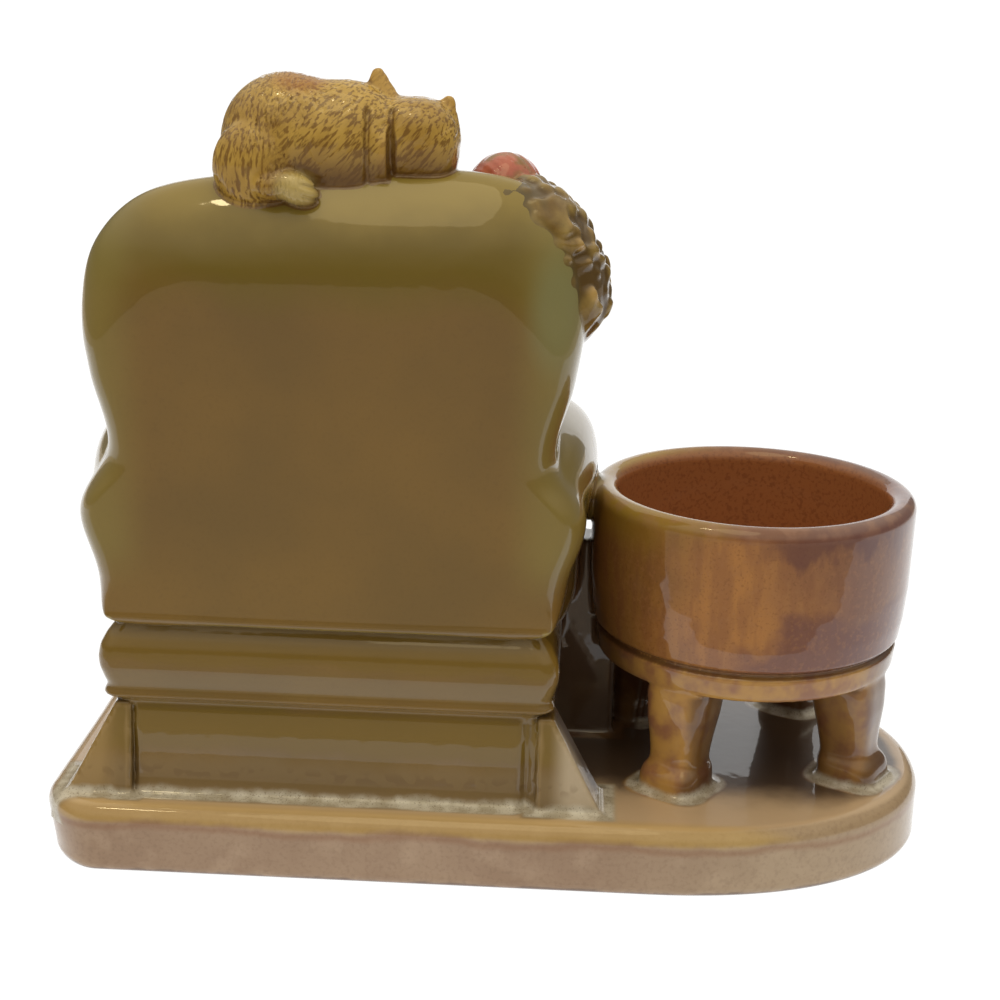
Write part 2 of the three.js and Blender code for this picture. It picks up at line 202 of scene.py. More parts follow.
# The painted shade on the plinth's top, under the tub and beside the chair, starts here along Y and deepens
# over so many millimetres. It sets in and is full at these places along X, and at these distances in from
# the plinth's edge.
SHADE_START, SHADE_DEEPENS = -26, 20
SHADE_ALONG_X, SHADE_INSET = (2, 12), (2, 5.3)
BODY_ROUGHNESS = 0.34
BODY_SHINE = 0.1
GLAZE_ROUGHNESS = 0.045
PEEL_SIZE = 2.4
PEEL_DEPTH = 0.012
PINKISH_BEIGE = "a5896d"
DUSKY_BEIGE = "95775b"
PALE_BEIGE = "b79c80"
GREENISH_BEIGE = "b8a484"
GRAIN_BROWN = "765a40"
TOP_LIGHT_CREAM = "cfb698"
ORANGE_BROWN = "8a5a30"
GOLDEN_EDGE = "cfae62"
SHADE_BROWN = "44342a"
FOOT_BROWN = "5b4232"


def ease(value, start, end):
    """Rises smoothly from 0 at start to 1 at end."""
    share = np.clip((value - start) / (end - start), 0, 1)
    return share * share * (3 - 2 * share)


def luted(one, other, fillet):
    """Two clay bodies joined, with a fillet of slip along the join."""
    close = np.maximum(fillet - np.abs(one - other), 0) / fillet
    return np.minimum(one, other) - close**3 * fillet / 6


def trimmed(one, other, edge):
    """What two bodies share, with the edge between them sponged round."""
    return -luted(-one, -other, edge)


def rounded(one, other, radius):
    """What two flat faces at right angles share, with a true radius between them."""
    a, b = one + radius, other + radius
    return np.hypot(np.maximum(a, 0), np.maximum(b, 0)) + np.minimum(np.maximum(a, b), 0) - radius


def wobble(points):
    """How far a hand-finished surface wanders in from true, in millimetres."""
    x, y, z = points.T
    waves = np.sin(x / 7.3 + 1.1) + np.sin(y / 6.1 + z / 9.7 + 0.4) + np.sin(z / 8.3 + x / 11 + 2.2)
    return HAND_WOBBLE * (1 + waves / 3)


def plinth_body(points):
    x, y, z = points.T
    half_width, half_depth = PLINTH_WIDTH / 2, PLINTH_DEPTH / 2
    side = np.maximum(np.abs(x) - half_width, np.abs(y) - half_depth)
    for right, far, reach_x, reach_y, fullness in PLINTH_CORNERS:
        a = np.maximum(right * x - half_width + reach_x, 0) / reach_x
        b = np.maximum(far * y - half_depth + reach_y, 0) / reach_y
        whole = np.maximum(a**fullness + b**fullness, 1e-9) ** (1 / fullness)
        slope = np.hypot(a ** (fullness - 1) / reach_x, b ** (fullness - 1) / reach_y)
        slope = np.maximum(slope * whole ** (1 - fullness), 1e-3)
        side = np.where((a > 0) & (b > 0), (whole - 1) / slope, side)
    slant = PLINTH_END_LEAN * ease(-x, half_width - LEAN_STARTS, half_width - LEAN_FULL)
    side = side + slant * np.maximum(PLINTH_TOP - z, 0)
    middle = PLINTH_TOP / 2
    edge = np.where(z > middle, PLINTH_TOP_EDGE, PLINTH_FOOT_EDGE)
    body = rounded(side, np.abs(z - middle) - middle, edge)
    return body + wobble(points) * ease(z, 0.3, 2.5)


def corner_distances(shape, low, cell, counts):
    """Distances at the corners of a grid, worked out only in the blocks that the surface can cross."""
    blocks = counts // BLOCK
    first = np.stack(np.meshgrid(*map(np.arange, blocks), indexing="ij"), -1).reshape(-1, 3) * BLOCK
    rough = shape(low + (first + BLOCK / 2) * cell)
    crossed = np.abs(rough) < BLOCK_MARGIN * BLOCK / 2 * np.linalg.norm(cell)
    values = rough.reshape(blocks)
    for axis in range(3):
        values = values.repeat(BLOCK, axis)
    inner = np.stack(np.meshgrid(*[np.arange(BLOCK)] * 3, indexing="ij"), -1).reshape(-1, 3)
    chosen = first[crossed]
    for batch in np.array_split(chosen, max(1, len(chosen) // BATCH)):
        index = (batch[:, None] + inner).reshape(-1, 3)
        values[tuple(index.T)] = shape(low + index * cell)
    return values


def value_and_slope(shape, points, step=0.02):
    """A body's distance at each point and its slope there, from four places close round it."""
    tips = np.array([(1, -1, -1), (-1, -1, 1), (-1, 1, -1), (1, 1, 1)])
    values = [shape(points + step * tip) for tip in tips]
    slope = sum(value[:, None] * tip for value, tip in zip(values, tips)) / (4 * step)
    return sum(values) / 4, slope


def drawn_onto(shape, points, longest):
    """Points moved along the slope until they lie on the body's skin."""
    for _ in range(DRAWS):
        value, slope = value_and_slope(shape, points)
        steepness = np.maximum((slope**2).sum(1), 0.05)
        move = value[:, None] * slope / steepness[:, None]
        length = np.maximum(np.linalg.norm(move, axis=1), 1e-9)
        points = points - move * np.minimum(1, longest / length)[:, None]
    return points


def net_faces(inside, number):
    """A four-sided face over every edge of the grid that the skin cuts, facing outwards."""
    faces = []
    step = np.eye(3, dtype=int)
    for axis in range(3):
        ahead = tuple(slice(1, None) if a == axis else slice(1, -1) for a in range(3))
        behind = tuple(slice(None, -1) if a == axis else slice(1, -1) for a in range(3))
        cut = inside[behind] != inside[ahead]
        outward = inside[behind][cut]
        edge = np.argwhere(cut) + 1 - step[axis]
        u, v = step[(axis + 1) % 3], step[(axis + 2) % 3]
        quads = np.stack([number[tuple((edge - back).T)] for back in (u + v, v, 0 * u, u)], -1)
        faces.append(np.where(outward[:, None], quads, quads[:, ::-1]))
    return np.concatenate(faces)


def surface_net(shape, low, high, cell):
    """Corner points and four-sided faces of the skin where shape(points) is zero."""
    cell = np.broadcast_to(np.asarray(cell, float), 3)
    low = np.asarray(low, float) - 1.5 * cell
    counts = np.ceil((np.asarray(high) - low) / cell).astype(int) + 2
    counts = (counts + BLOCK - 1) // BLOCK * BLOCK
    values = corner_distances(shape, low, cell, counts)
    inside = values < 0
    corners = np.array([(i, j, k) for i in (0, 1) for j in (0, 1) for k in (0, 1)])
    window = tuple(counts - 1)
    filled = np.zeros(window, np.int8)
    for corner in corners:
        filled += inside[tuple(slice(start, start + size) for start, size in zip(corner, window))]
    crossed = (filled > 0) & (filled < len(corners))
    number = np.full(window, -1)
    number[crossed] = np.arange(crossed.sum())
    index = np.argwhere(crossed)
    at = {tuple(corner): values[tuple((index + corner).T)] for corner in corners}
    total, hits = np.zeros(index.shape), np.zeros(len(index))
    for start in corners:
        for axis in np.flatnonzero(start == 0):
            end = start.copy()
            end[axis] = 1
            a, b = at[tuple(start)], at[tuple(end)]
            cut = (a < 0) != (b < 0)
            share = np.where(cut, a / np.where(cut, a - b, 1), 0)
            total += np.where(cut[:, None], start + share[:, None] * (end - start), 0)
            hits += cut
    points = low + (index + total / hits[:, None]) * cell
    return drawn_onto(shape, points, LONGEST_DRAW * cell.max()), net_faces(inside, number)


def cast(name, shape, low, high, cell, marks, skin=None):
    """One closed piece of the casting, with a reading of each mark at every point of its surface.

    skin is the surface that the light is to see, where the piece's own dives under its neighbour's.
    """
    skin = skin or shape
    points, faces = surface_net(shape, low, high, cell)
    _, slope = value_and_slope(skin, points)
    normals = slope / np.linalg.norm(slope, axis=1)[:, None]
    mesh = bpy.data.meshes.new(name)
    mesh.from_pydata((points * MM).tolist(), [], faces.tolist())
    mesh.polygons.foreach_set("use_smooth", np.ones(len(faces), bool))
    mesh.normals_split_custom_set_from_vertices(normals.tolist())
    readings = {
        # Hollows are darkened and edges lightened: partly glaze, partly painted shade and painted
        # highlights.
        "pool": np.clip(1 - skin(points + FINGER * normals) / FINGER, 0, 1),
        "thin": np.clip(1 + skin(points - FINGER * normals) / FINGER, 0, 1),
        **{mark: read(points) for mark, read in marks.items()},
    }
    for mark, reading in readings.items():
        mesh.attributes.new(mark, "FLOAT", "POINT").data.foreach_set("value", np.ascontiguousarray(reading))
    piece = bpy.data.objects.new(name, mesh)
    bpy.context.scene.collection.objects.link(piece)
    print(name, len(faces) * 2, "triangles")
    return piece


def tint(code):
    """A colour written as it looks, in six hex digits, as the linear light that a shader takes."""
    parts = [int(code[i : i + 2], 16) / 255 for i in (0, 2, 4)]
    linear = [p / 12.92 if p <= 0.04045 else ((p + 0.055) / 1.055) ** 2.4 for p in parts]
    return (*linear, 1)


class Glaze:
    """A fired glaze: coats of colour laid over each other by marks on the clay and by clouds of noise."""

    def __init__(self, name):
        self.material = bpy.data.materials.new(name)
        self.material.use_nodes = True
        self.nodes = self.material.node_tree.nodes
        self.links = self.material.node_tree.links
        self.place = self.node("ShaderNodeTexCoord").outputs["Object"]

    def node(self, kind, inputs=(), **settings):
        made = self.nodes.new(kind)
        for setting, value in settings.items():
            setattr(made, setting, value)
        for socket, value in dict(inputs).items():
            if isinstance(value, bpy.types.NodeSocket):
                self.links.new(value, made.inputs[socket])
            else:
                made.inputs[socket].default_value = value
        return made

    def mark(self, name, start=None, end=None):
        """A reading kept at the points of the piece, or its smooth rise from start to end."""
        reading = self.node("ShaderNodeAttribute", attribute_name=name).outputs["Fac"]
        return reading if start is None else self.step(reading, start, end)

    def sum(self, one, other, operation="ADD"):
        return self.node("ShaderNodeMath", {0: one, 1: other}, operation=operation).outputs[0]

    def times(self, one, other):
        return self.sum(one, other, "MULTIPLY")

    def step(self, value, start, end):
        """Rises smoothly from 0 to 1 as the value goes from start to end."""
        inputs = {"Value": value, "From Min": start, "From Max": end}
        return self.node("ShaderNodeMapRange", inputs, interpolation_type="SMOOTHSTEP").outputs[0]

    def cloud(self, size, start=0.35, end=0.65, detail=3.0, stretch=(1, 1, 1), shift=0.0, turn=0.0):
        """Noise with features of that size in millimetres, from 0 to 1, turned by degrees about Y."""
        inputs = {
            "Vector": self.place,
            "Location": (shift * size * MM,) * 3,
            "Rotation": (0, math.radians(turn), 0),
            "Scale": [MM * size * s for s in stretch],
        }
        place = self.node("ShaderNodeMapping", inputs, vector_type="TEXTURE").outputs[0]
        noise = self.node("ShaderNodeTexNoise", {"Vector": place, "Scale": 1.0, "Detail": detail})
        return self.step(noise.outputs["Fac"], start, end)

    def band(self, value, low, high, soft):
        """1 where the value lies between low and high, and 0 beyond, with soft edges."""
        rising = self.step(value, low - soft, low + soft)
        return self.times(rising, self.step(value, high + soft, high - soft))

    def along(self, axis):
        """Where a point lies along X, Y or Z, in millimetres."""
        parts = self.node("ShaderNodeSeparateXYZ", {0: self.place})
        return self.times(parts.outputs["XYZ".index(axis)], 1 / MM)

    def wander(self, place, size, reach, start=0.2, end=0.8, **settings):
        """A place that wanders by up to reach with a cloud of that size, both in millimetres."""
        return self.sum(place, self.times(self.cloud(size, start, end, **settings), reach))

    def ragged(self, mark, cloud, reach):
        """A mark whose edge wanders with a cloud."""
        return self.sum(mark, self.times(self.sum(cloud, -0.5), reach))

    def over(self, under, coat, where, amount=1.0):
        """One coat of colour over another, where a mark or a cloud says, and as thick as amount says."""
        if amount != 1.0:
            where = self.times(where, amount)
        under, coat = (tint(colour) if isinstance(colour, str) else colour for colour in (under, coat))
        inputs = {MIX_AMOUNT: where, MIX_UNDER: under, MIX_OVER: coat}
        return self.node("ShaderNodeMix", inputs, data_type="RGBA", clamp_factor=True).outputs[MIXED]

    def coats(self, colour, *coats):
        """Coats laid over a colour one after another, each with its place and its thickness."""
        for coat in coats:
            colour = self.over(colour, *coat)
        return colour

    def fire(self, colour):
        """Joins the colour to the shader, under a clear coat with the orange peel of a fired glaze."""
        shader = self.nodes["Principled BSDF"].inputs
        self.links.new(colour, shader["Base Color"])
        shader["Roughness"].default_value = BODY_ROUGHNESS
        shader["Specular IOR Level"].default_value = BODY_SHINE
        shader["Coat Weight"].default_value = 1.0
        shader["Coat Roughness"].default_value = GLAZE_ROUGHNESS
        peel = self.times(self.cloud(PEEL_SIZE, 0.2, 0.8, 1.0), PEEL_DEPTH * MM)
        bump = self.node("ShaderNodeBump", {"Height": peel, "Strength": 1.0, "Distance": 1.0}).outputs[0]
        self.links.new(bump, shader["Normal"])
        self.links.new(bump, shader["Coat Normal"])
        return self.material


def painted_shade_on_top(points):
    """Painted shadow on the plinth's top, dark under the tub, behind its near edge and beside the chair."""
    x, y, z = points.T
    inward = -plinth_body(points * (1, 1, 0) + (0, 0, PLINTH_TOP / 2))
    start = SHADE_START + 2 * ease(x, 24, 12)
    top = ease(z, PLINTH_TOP - 1, PLINTH_TOP - 0.3)
    return ease(y, start, start + SHADE_DEEPENS) * ease(x, *SHADE_ALONG_X) * ease(inward, *SHADE_INSET) * top


def plinth_coat(glaze):
    """Pinkish beige, with a top painted light, a golden top edge over a thin orange brown line, and painted
    shade on top.
    """
    height = glaze.along("Z")
    level = glaze.wander(height, 9, 1.2)
    # The golden top edge is partly glaze run thin on the rolled edge and partly a painted highlight along
    # it.
    edge = glaze.times(glaze.step(level, 8.2, 9.4), glaze.mark("thin", 0.02, 0.2))
    near_edge = glaze.times(glaze.step(glaze.along("Y"), -27, -29.5), glaze.step(level, 8.6, 9.8))
    golden = glaze.sum(edge, glaze.times(near_edge, 0.6), "MAXIMUM")
    # Painted shade on the top, under the tub and beside the chair, with a ragged edge.
    pool = glaze.ragged(glaze.mark("shade_on_top"), glaze.cloud(8, 0.2, 0.8), 0.25)
    return glaze.coats(
        PINKISH_BEIGE,
        (DUSKY_BEIGE, glaze.cloud(14, 0.3, 0.7)),
        (PALE_BEIGE, glaze.cloud(5, 0.45, 0.75, shift=3), 0.5),
        (GREENISH_BEIGE, glaze.step(glaze.along("X"), 10, 48), 0.5),
        (GRAIN_BROWN, glaze.cloud(0.7, 0.45, 0.7, 4), 0.22),
        # The top face is painted lighter: painted light from above.
        (TOP_LIGHT_CREAM, glaze.step(height, 10.2, 10.7), 0.9),
        (ORANGE_BROWN, glaze.band(level, 7.9, 8.8, 0.6), 0.5),
        (GOLDEN_EDGE, golden, 0.8),
        # The painted shade on the top.
        (SHADE_BROWN, glaze.step(pool, 0.05, 0.8), 0.94),
    )


def make_plinth():
    half = (PLINTH_WIDTH / 2, PLINTH_DEPTH / 2)
    low, high = (-half[0], -half[1], 0), (half[0], half[1], PLINTH_TOP)
    plinth = cast("plinth", plinth_body, low, high, 0.55, {"shade_on_top": painted_shade_on_top})
    glaze = Glaze("plinth_glaze")
    level = glaze.wander(glaze.along("Z"), 4, 0.5, 0.3, 0.7)
    colour = glaze.over(plinth_coat(glaze), FOOT_BROWN, glaze.step(level, 1.3, 0.7), 0.8)
    plinth.data.materials.append(glaze.fire(colour))
    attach(plinth, "root")
    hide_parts("candle_holder")


make_plinth()


# Skirt and band: the armchair's lower half, a stuffed band between two thin piped lips over a skirt with
# a box pleat at each corner. The pleats spread onto the plinth, where the glaze ran down and pooled milky.
CHAIR_X = -24.75
CHAIR_Y = -3.0
BASE_HALF_WIDTH = 34.6
BASE_HALF_DEPTH = 22.5
BASE_CORNER = 2.6
BASE_TOP = 41.0
# The skirt, the tub's legs and its web all end at this height, inside the plinth.
ROOT = 7.0
PLEAT_TOP = 25.2
PLEAT_INNER, PLEAT_OUTER = 30.9, 33.3
PLEAT_SHIFT = 0.9
PLEAT_DEPTH = 8.0
PLEAT_SET_BACK = 1.35
# How far a pleat comes forward and spreads to its side for each millimetre down, and each slope's cosine.
PLEAT_FORWARD, FORWARD_COSINE = 0.155, 0.988
PLEAT_SPREAD, SPREAD_COSINE = 0.53, 0.884
# The fold down a pleat's face: its depth, its place at the top, how it spreads on the way down, its width.
FOLD_DEPTH, FOLD_PLACE, FOLD_SPREAD, FOLD_WIDTH = 0.28, 32.4, 0.16, 0.9
# The crease in the skirt's face beside each pleat: its depth, its distance from the pleat, its width.
CREASE_DEPTH, CREASE_PLACE, CREASE_WIDTH = 0.8, 0.6, 0.8
# How far the pleats reach from the chair's middle at the plinth.
SKIRT_REACH_X, SKIRT_REACH_Y = 42.5, 24.5
MILKY_FILLET = 1.9
# Past its fillet a piece's glaze runs on over its neighbour as a film, then sinks out of sight at the tail.
GLAZE_SPREAD = 1.8
FILM = 0.03
SEAM_DIVE = 0.3
SEAM_TAIL = 1.3
OLIVE = "856933"
DEEP_OLIVE = "786031"
OLIVE_GRAIN = "5f4824"
GREEN_OLIVE = "7b6420"
DULL_OLIVE = "80703f"
GREYISH_OLIVE = "8c7b5e"
MILKY_GREY = "b3ac9c"
MILKY_WHITE = "d9d6cc"
PINHOLE = "5a4636"
LIP_CREAM = "b59a70"
FOLD_BROWN = "4f3a1c"
PINK_CREAM = "cdbfa8"
PLEAT_TAN = "ad905c"
SPOT_BROWN = "5a3c1c"
SHADY_BROWN = "56443a"
# How far the face stands out from the nominal at each height, from inside the plinth to inside the back.
BASE_PROFILE = (
    (6.0, 0.4), (10.8, 0.1), (13.0, -0.75), (17.0, -1.1), (21.0, -1.1),
    (24.0, -1.5), (25.05, -1.95), (25.65, -1.5), (26.1, -0.35), (26.45, -0.1),
    (26.85, -0.3), (27.75, -0.7), (29.05, -0.25), (30.9, 0.25), (32.5, 0.35),
    (34.3, 0.05), (35.9, -0.75), (37.1, -1.7), (38.1, -2.1), (41.0, -2.2),
)


def smooth_table(rows, start, end, blur):
    """A height table and its slope, resampled finely and blurred over so many millimetres."""
    step = 0.05
    heights = np.arange(start - 4, end + 4, step)
    values = np.interp(heights, *np.array(rows).T)
    reach = np.arange(-4 * blur, 4 * blur + 0.01, step)
    kernel = np.exp(-((reach / blur) ** 2) / 2)
    values = np.convolve(values, kernel / kernel.sum(), "same")
    return heights, values, np.gradient(values, heights)


BASE_TABLE = smooth_table(BASE_PROFILE, 6, 41, 0.3)


def skirt_pleats(points):
    x, y, z = points.T
    across = np.abs(x - CHAIR_X - PLEAT_SHIFT)
    out = np.abs(y - CHAIR_Y)
    drop = PLEAT_TOP - z
    beside = (across - FOLD_PLACE - FOLD_SPREAD * drop) / FOLD_WIDTH
    fold = FOLD_DEPTH * np.exp(-(beside**2)) * ease(drop, 1, 5)
    front = (out + fold - (BASE_HALF_DEPTH - PLEAT_SET_BACK + PLEAT_FORWARD * drop)) * FORWARD_COSINE
    side = (across - (PLEAT_OUTER + PLEAT_SPREAD * drop)) * SPREAD_COSINE
    body = trimmed(front, side, 0.7)
    body = trimmed(body, PLEAT_INNER - across, 1.0)
    body = trimmed(body, BASE_HALF_DEPTH - PLEAT_DEPTH - out, 0.8)
    return np.maximum(trimmed(body, z - PLEAT_TOP, 0.8), ROOT - z)


def base_body(points):
    x, y, z = points.T
    heights, offsets, slopes = BASE_TABLE
    offset = np.interp(z, heights, offsets)
    slope = np.interp(z, heights, slopes)
    across = np.abs(x - CHAIR_X)
    beside = (across - PLEAT_INNER + CREASE_PLACE) / CREASE_WIDTH
    crease = CREASE_DEPTH * np.exp(-(beside**2)) * ease(PLEAT_TOP - z, 0, 1.5)
    out = np.abs(y - CHAIR_Y)
    side = rounded(across - BASE_HALF_WIDTH - offset, out - BASE_HALF_DEPTH - offset + crease, BASE_CORNER)
    side = side / np.sqrt(1 + slope**2)
    body = np.maximum(np.maximum(side, z - BASE_TOP), ROOT - z)
    return luted(body, skirt_pleats(points), 0.35) + wobble(points)


def lapped(own, under, fillet, spread=0.0):
    """A piece with its fillet lapping onto what is under it, and its skin as the light sees it.

    With spread, its glaze runs on over what is under it for so many millimetres, as a thin film.
    """
    film = FILM if spread else 0

    def skin(points):
        return luted(own(points), under(points), fillet) - film

    def shape(points):
        out = own(points)
        reach = fillet + spread
        sink = SEAM_DIVE * ease(out, reach - 0.4, reach + 0.9)
        return np.maximum(skin(points) + sink, out - reach - SEAM_TAIL)

    return shape, skin


def olive_coat(glaze):
    """Golden olive brown, a little darker in slow clouds, with a fine dark grain."""
    slow, fine = glaze.cloud(22, 0.25, 0.75), glaze.cloud(0.6, 0.5, 0.75, 4)
    return glaze.coats(OLIVE, (DEEP_OLIVE, slow), (OLIVE_GRAIN, fine, 0.12))


def run_out(glaze, own_coat, amount):
    """The glaze at a foot: its own coat, a pale milky pool pricked with pinholes, then the plinth's."""
    milky = glaze.over(MILKY_GREY, MILKY_WHITE, glaze.cloud(2.4, 0.35, 0.65, shift=2))
    milky = glaze.over(milky, PINHOLE, glaze.cloud(0.24, 0.66, 0.72, 0.0, shift=7), 0.45)
    colour = glaze.over(own_coat, plinth_coat(glaze), glaze.mark("away", 0.35, 0.8))
    away = glaze.ragged(glaze.mark("away"), glaze.cloud(5, 0.2, 0.8), 0.2)
    level = glaze.wander(glaze.along("Z"), 6, 1.0, shift=4)
    low = glaze.step(level, PLINTH_TOP + 2.0, PLINTH_TOP + 0.8)
    pale = glaze.sum(glaze.step(away, 0.08, 0.35), low, "MAXIMUM")
    return glaze.over(colour, milky, glaze.times(pale, glaze.step(away, 0.68, 0.34)), amount)


def right_of_chair(points):
    """How far a point lies towards the tub from the chair's middle line."""
    return points[:, 0] - CHAIR_X


def foot_of_pleats(points):
    """The skirt's height, below the band."""
    return ease(points[:, 2], 25.4, 23)


def away_from(body):
    """A mark for the glaze at a foot: 0 on the body itself, rising to 1 where its glaze has run out."""
    return lambda points: ease(body(points), 0, MILKY_FILLET + GLAZE_SPREAD) * ease(points[:, 2], 15, 13)


def painted_shade_beside_tub(points):
    """Painted shade on the skirt's side in the narrow space beside the tub."""
    x, y, z = points.T
    return ease(x - CHAIR_X, 33.4, 34.8) * ease(y, -24.5, -20) * ease(z, PLINTH_TOP + 0.1, PLINTH_TOP + 0.8)


def make_base():
    shape, skin = lapped(base_body, plinth_body, MILKY_FILLET, GLAZE_SPREAD)
    reach = MILKY_FILLET + GLAZE_SPREAD + SEAM_TAIL
    low = (CHAIR_X - SKIRT_REACH_X - reach, CHAIR_Y - SKIRT_REACH_Y - reach, ROOT - 0.2)
    high = (CHAIR_X + SKIRT_REACH_X + reach, CHAIR_Y + SKIRT_REACH_Y + reach, BASE_TOP)
    marks = {
        "away": away_from(base_body),
        "shade_on_top": painted_shade_on_top,
        "beside": painted_shade_beside_tub,
        "pleat": lambda points: ease(right_of_chair(points), 33.5, 37) * foot_of_pleats(points),
        "outer_pleat": lambda points: ease(-right_of_chair(points), 31.5, 35) * foot_of_pleats(points),
    }
    base = cast("skirt_and_band", shape, low, high, (0.62, 0.62, 0.36), marks, skin)
    glaze = Glaze("skirt_glaze")
    height = glaze.along("Z")
    level = glaze.wander(height, 7, 1.6)
    spots = glaze.cloud(1.5, 0.5, 0.62, 0.0, shift=5)
    colour = glaze.coats(
        olive_coat(glaze),
        (GREEN_OLIVE, glaze.band(level, 18.5, 25.5, 1.2), 0.75),
        (GREEN_OLIVE, glaze.step(level, 32.5, 34), 0.6),
        (GREYISH_OLIVE, glaze.step(level, 19, 15.5), 0.4),
        (DULL_OLIVE, glaze.band(level, 28.4, 31.6, 0.9), 0.25),
        # Pale lips: partly glaze run thin, partly a painted highlight on the edges.
        (LIP_CREAM, glaze.mark("thin", 0.3, 0.75), 0.6),
        # Dark folds: partly glaze gathered in the hollows, partly painted shade.
        (FOLD_BROWN, glaze.mark("pool", 0.35, 0.8), 0.45),
        (PINK_CREAM, glaze.mark("pleat"), 0.75),
        (PLEAT_TAN, glaze.mark("outer_pleat"), 0.6),
        (SPOT_BROWN, glaze.times(spots, glaze.band(height, 13.4, 15, 0.7)), 0.22),
        # Painted shade on the skirt's side beside the tub.
        (SHADY_BROWN, glaze.mark("beside"), 0.85),
    )
    colour = run_out(glaze, colour, 0.85)
    base.data.materials.append(glaze.fire(colour))
    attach(base, "root")
    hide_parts("candle_holder")


make_base()


# Armchair: the upright back with its rolled top, the two stuffed arms and the loose seat cushion. One
# hollow casting, its face scraped flat between the rolled edges.
BACK_NEAR = -25.9
BACK_FAR = -6.5
BACK_CENTRE = (0.0, 74.0)
BACK_TOP = 105.2
BACK_TILT = 0.055
WAIST, SHOULDER, ARM_BULGE, LEDGE = 33.4, 36.8, 38.1, 34.4
ARM_HEIGHT, ARM_ROLL, ARM_NEAR, ARM_FRONT, ARM_FLARE = 59.4, 8.6, -18.5, 19.5, 2.6
BAND_TOP = 38.0
SIDE_ROLL = 5.0
TOP_ROLL = 17.0
ROLL_LOST_AT_FOOT = 3.6
ROLL_START = 88.5
ROLL_FORWARD = 3.3
SEAT_HALF_WIDTH, SEAT_BACK, SEAT_FRONT, SEAT_BOTTOM, SEAT_TOP = 23.0, -8.5, 20.4, 36.0, 45.4
# The flat panel swells by this much round its middle, which lies at this height, and falls off so far up
# and down from there.
SWELL, SWELL_HEIGHT, SWELL_REACH = 0.5, 66, 36
# A lip runs along the back's foot, this high and wide and so far over the band.
LIP_HEIGHT, LIP_WIDTH, LIP_PLACE = 0.3, 0.6, 1.1
# The back, the arms and the cushion end at this height, inside the band.
CHAIR_ROOT = 35.0
SEAT_CORNER = 4.0
# The cushion's welt, and how far its faces dip towards their edges.
WELT_HEIGHT, WELT_WIDTH = 0.35, 0.55
CUSHION_DIP = 0.9
CUSHION_ROLL = 4.5
ROLL_OLIVE = "766722"
CREST_HIGHLIGHT_GOLD = "a8944a"
EDGE_GOLD = "a49352"
SIDE_GREEN_HIGHLIGHT = "918749"
GROOVE_GREEN = "868f6c"
CREASE_BROWN = "54441c"


def smooth_outline(points, centre, blur):
    """A closed curve through (x, z) points, smoothed over blur degrees seen from a centre.

    It is kept as its distance from the centre and its slant, by direction.
    """
    per_degree = 8
    here = np.array(points, float)
    last, after, beyond = np.roll(here, 1, 0), np.roll(here, -1, 0), np.roll(here, -2, 0)
    pairs = ((last, here), (here, after), (after, beyond))
    gaps = [np.linalg.norm(b - a, axis=1)[:, None] ** 0.5 for a, b in pairs]
    leave = (here - last) / gaps[0] - (after - last) / (gaps[0] + gaps[1]) + (after - here) / gaps[1]
    arrive = (after - here) / gaps[1] - (beyond - here) / (gaps[1] + gaps[2]) + (beyond - after) / gaps[2]
    s = np.linspace(0, 1, 60, endpoint=False)[:, None, None]
    curve = (2 * s**3 - 3 * s**2 + 1) * here + (3 * s**2 - 2 * s**3) * after
    curve = curve + gaps[1] * ((s**3 - 2 * s**2 + s) * leave + (s**3 - s**2) * arrive)
    out = curve.reshape(-1, 2) - centre
    angle, radius = np.arctan2(out[:, 1], out[:, 0]), np.hypot(out[:, 0], out[:, 1])
    turns = np.linspace(-math.pi, math.pi, 360 * per_degree, endpoint=False)
    radius = np.interp(turns, angle[np.argsort(angle)], radius[np.argsort(angle)], period=2 * math.pi)
    furthest = 5 * per_degree
    reach = np.arange(-furthest, furthest + 1)
    kernel = np.exp(-((reach / (per_degree * blur)) ** 2) / 2)
    radius = np.convolve(np.pad(radius, furthest, "wrap"), kernel / kernel.sum(), "valid")
    lean = np.gradient(radius, turns) / radius
    return {"centre": centre, "turns": turns, "radius": radius, "slant": 1 / np.sqrt(1 + lean**2)}


def outline_distance(outline, x, z):
    """How far a place lies outside the outline."""
    x, z = x - outline["centre"][0], z - outline["centre"][1]
    turn = np.arctan2(z, x)
    radius, slant = (
        np.interp(turn, outline["turns"], outline[reading], period=2 * math.pi)
        for reading in ("radius", "slant")
    )
    return (np.hypot(x, z) - radius) * slant


def stuffed(flat, roll, across, half, fullness=2.2):
    """A cushion of half that thickness across, whose edges roll over within so much of its flat outline."""
    edge = np.maximum(1 + flat / roll, 0)
    face = np.abs(across) / half
    whole = np.maximum(edge**fullness + face**fullness, 1e-9)
    slope = np.hypot(edge ** (fullness - 1) / roll, face ** (fullness - 1) / half)
    slope = np.maximum(slope * whole ** (1 / fullness - 1), 0.2 / half)
    return (whole ** (1 / fullness) - 1) / slope


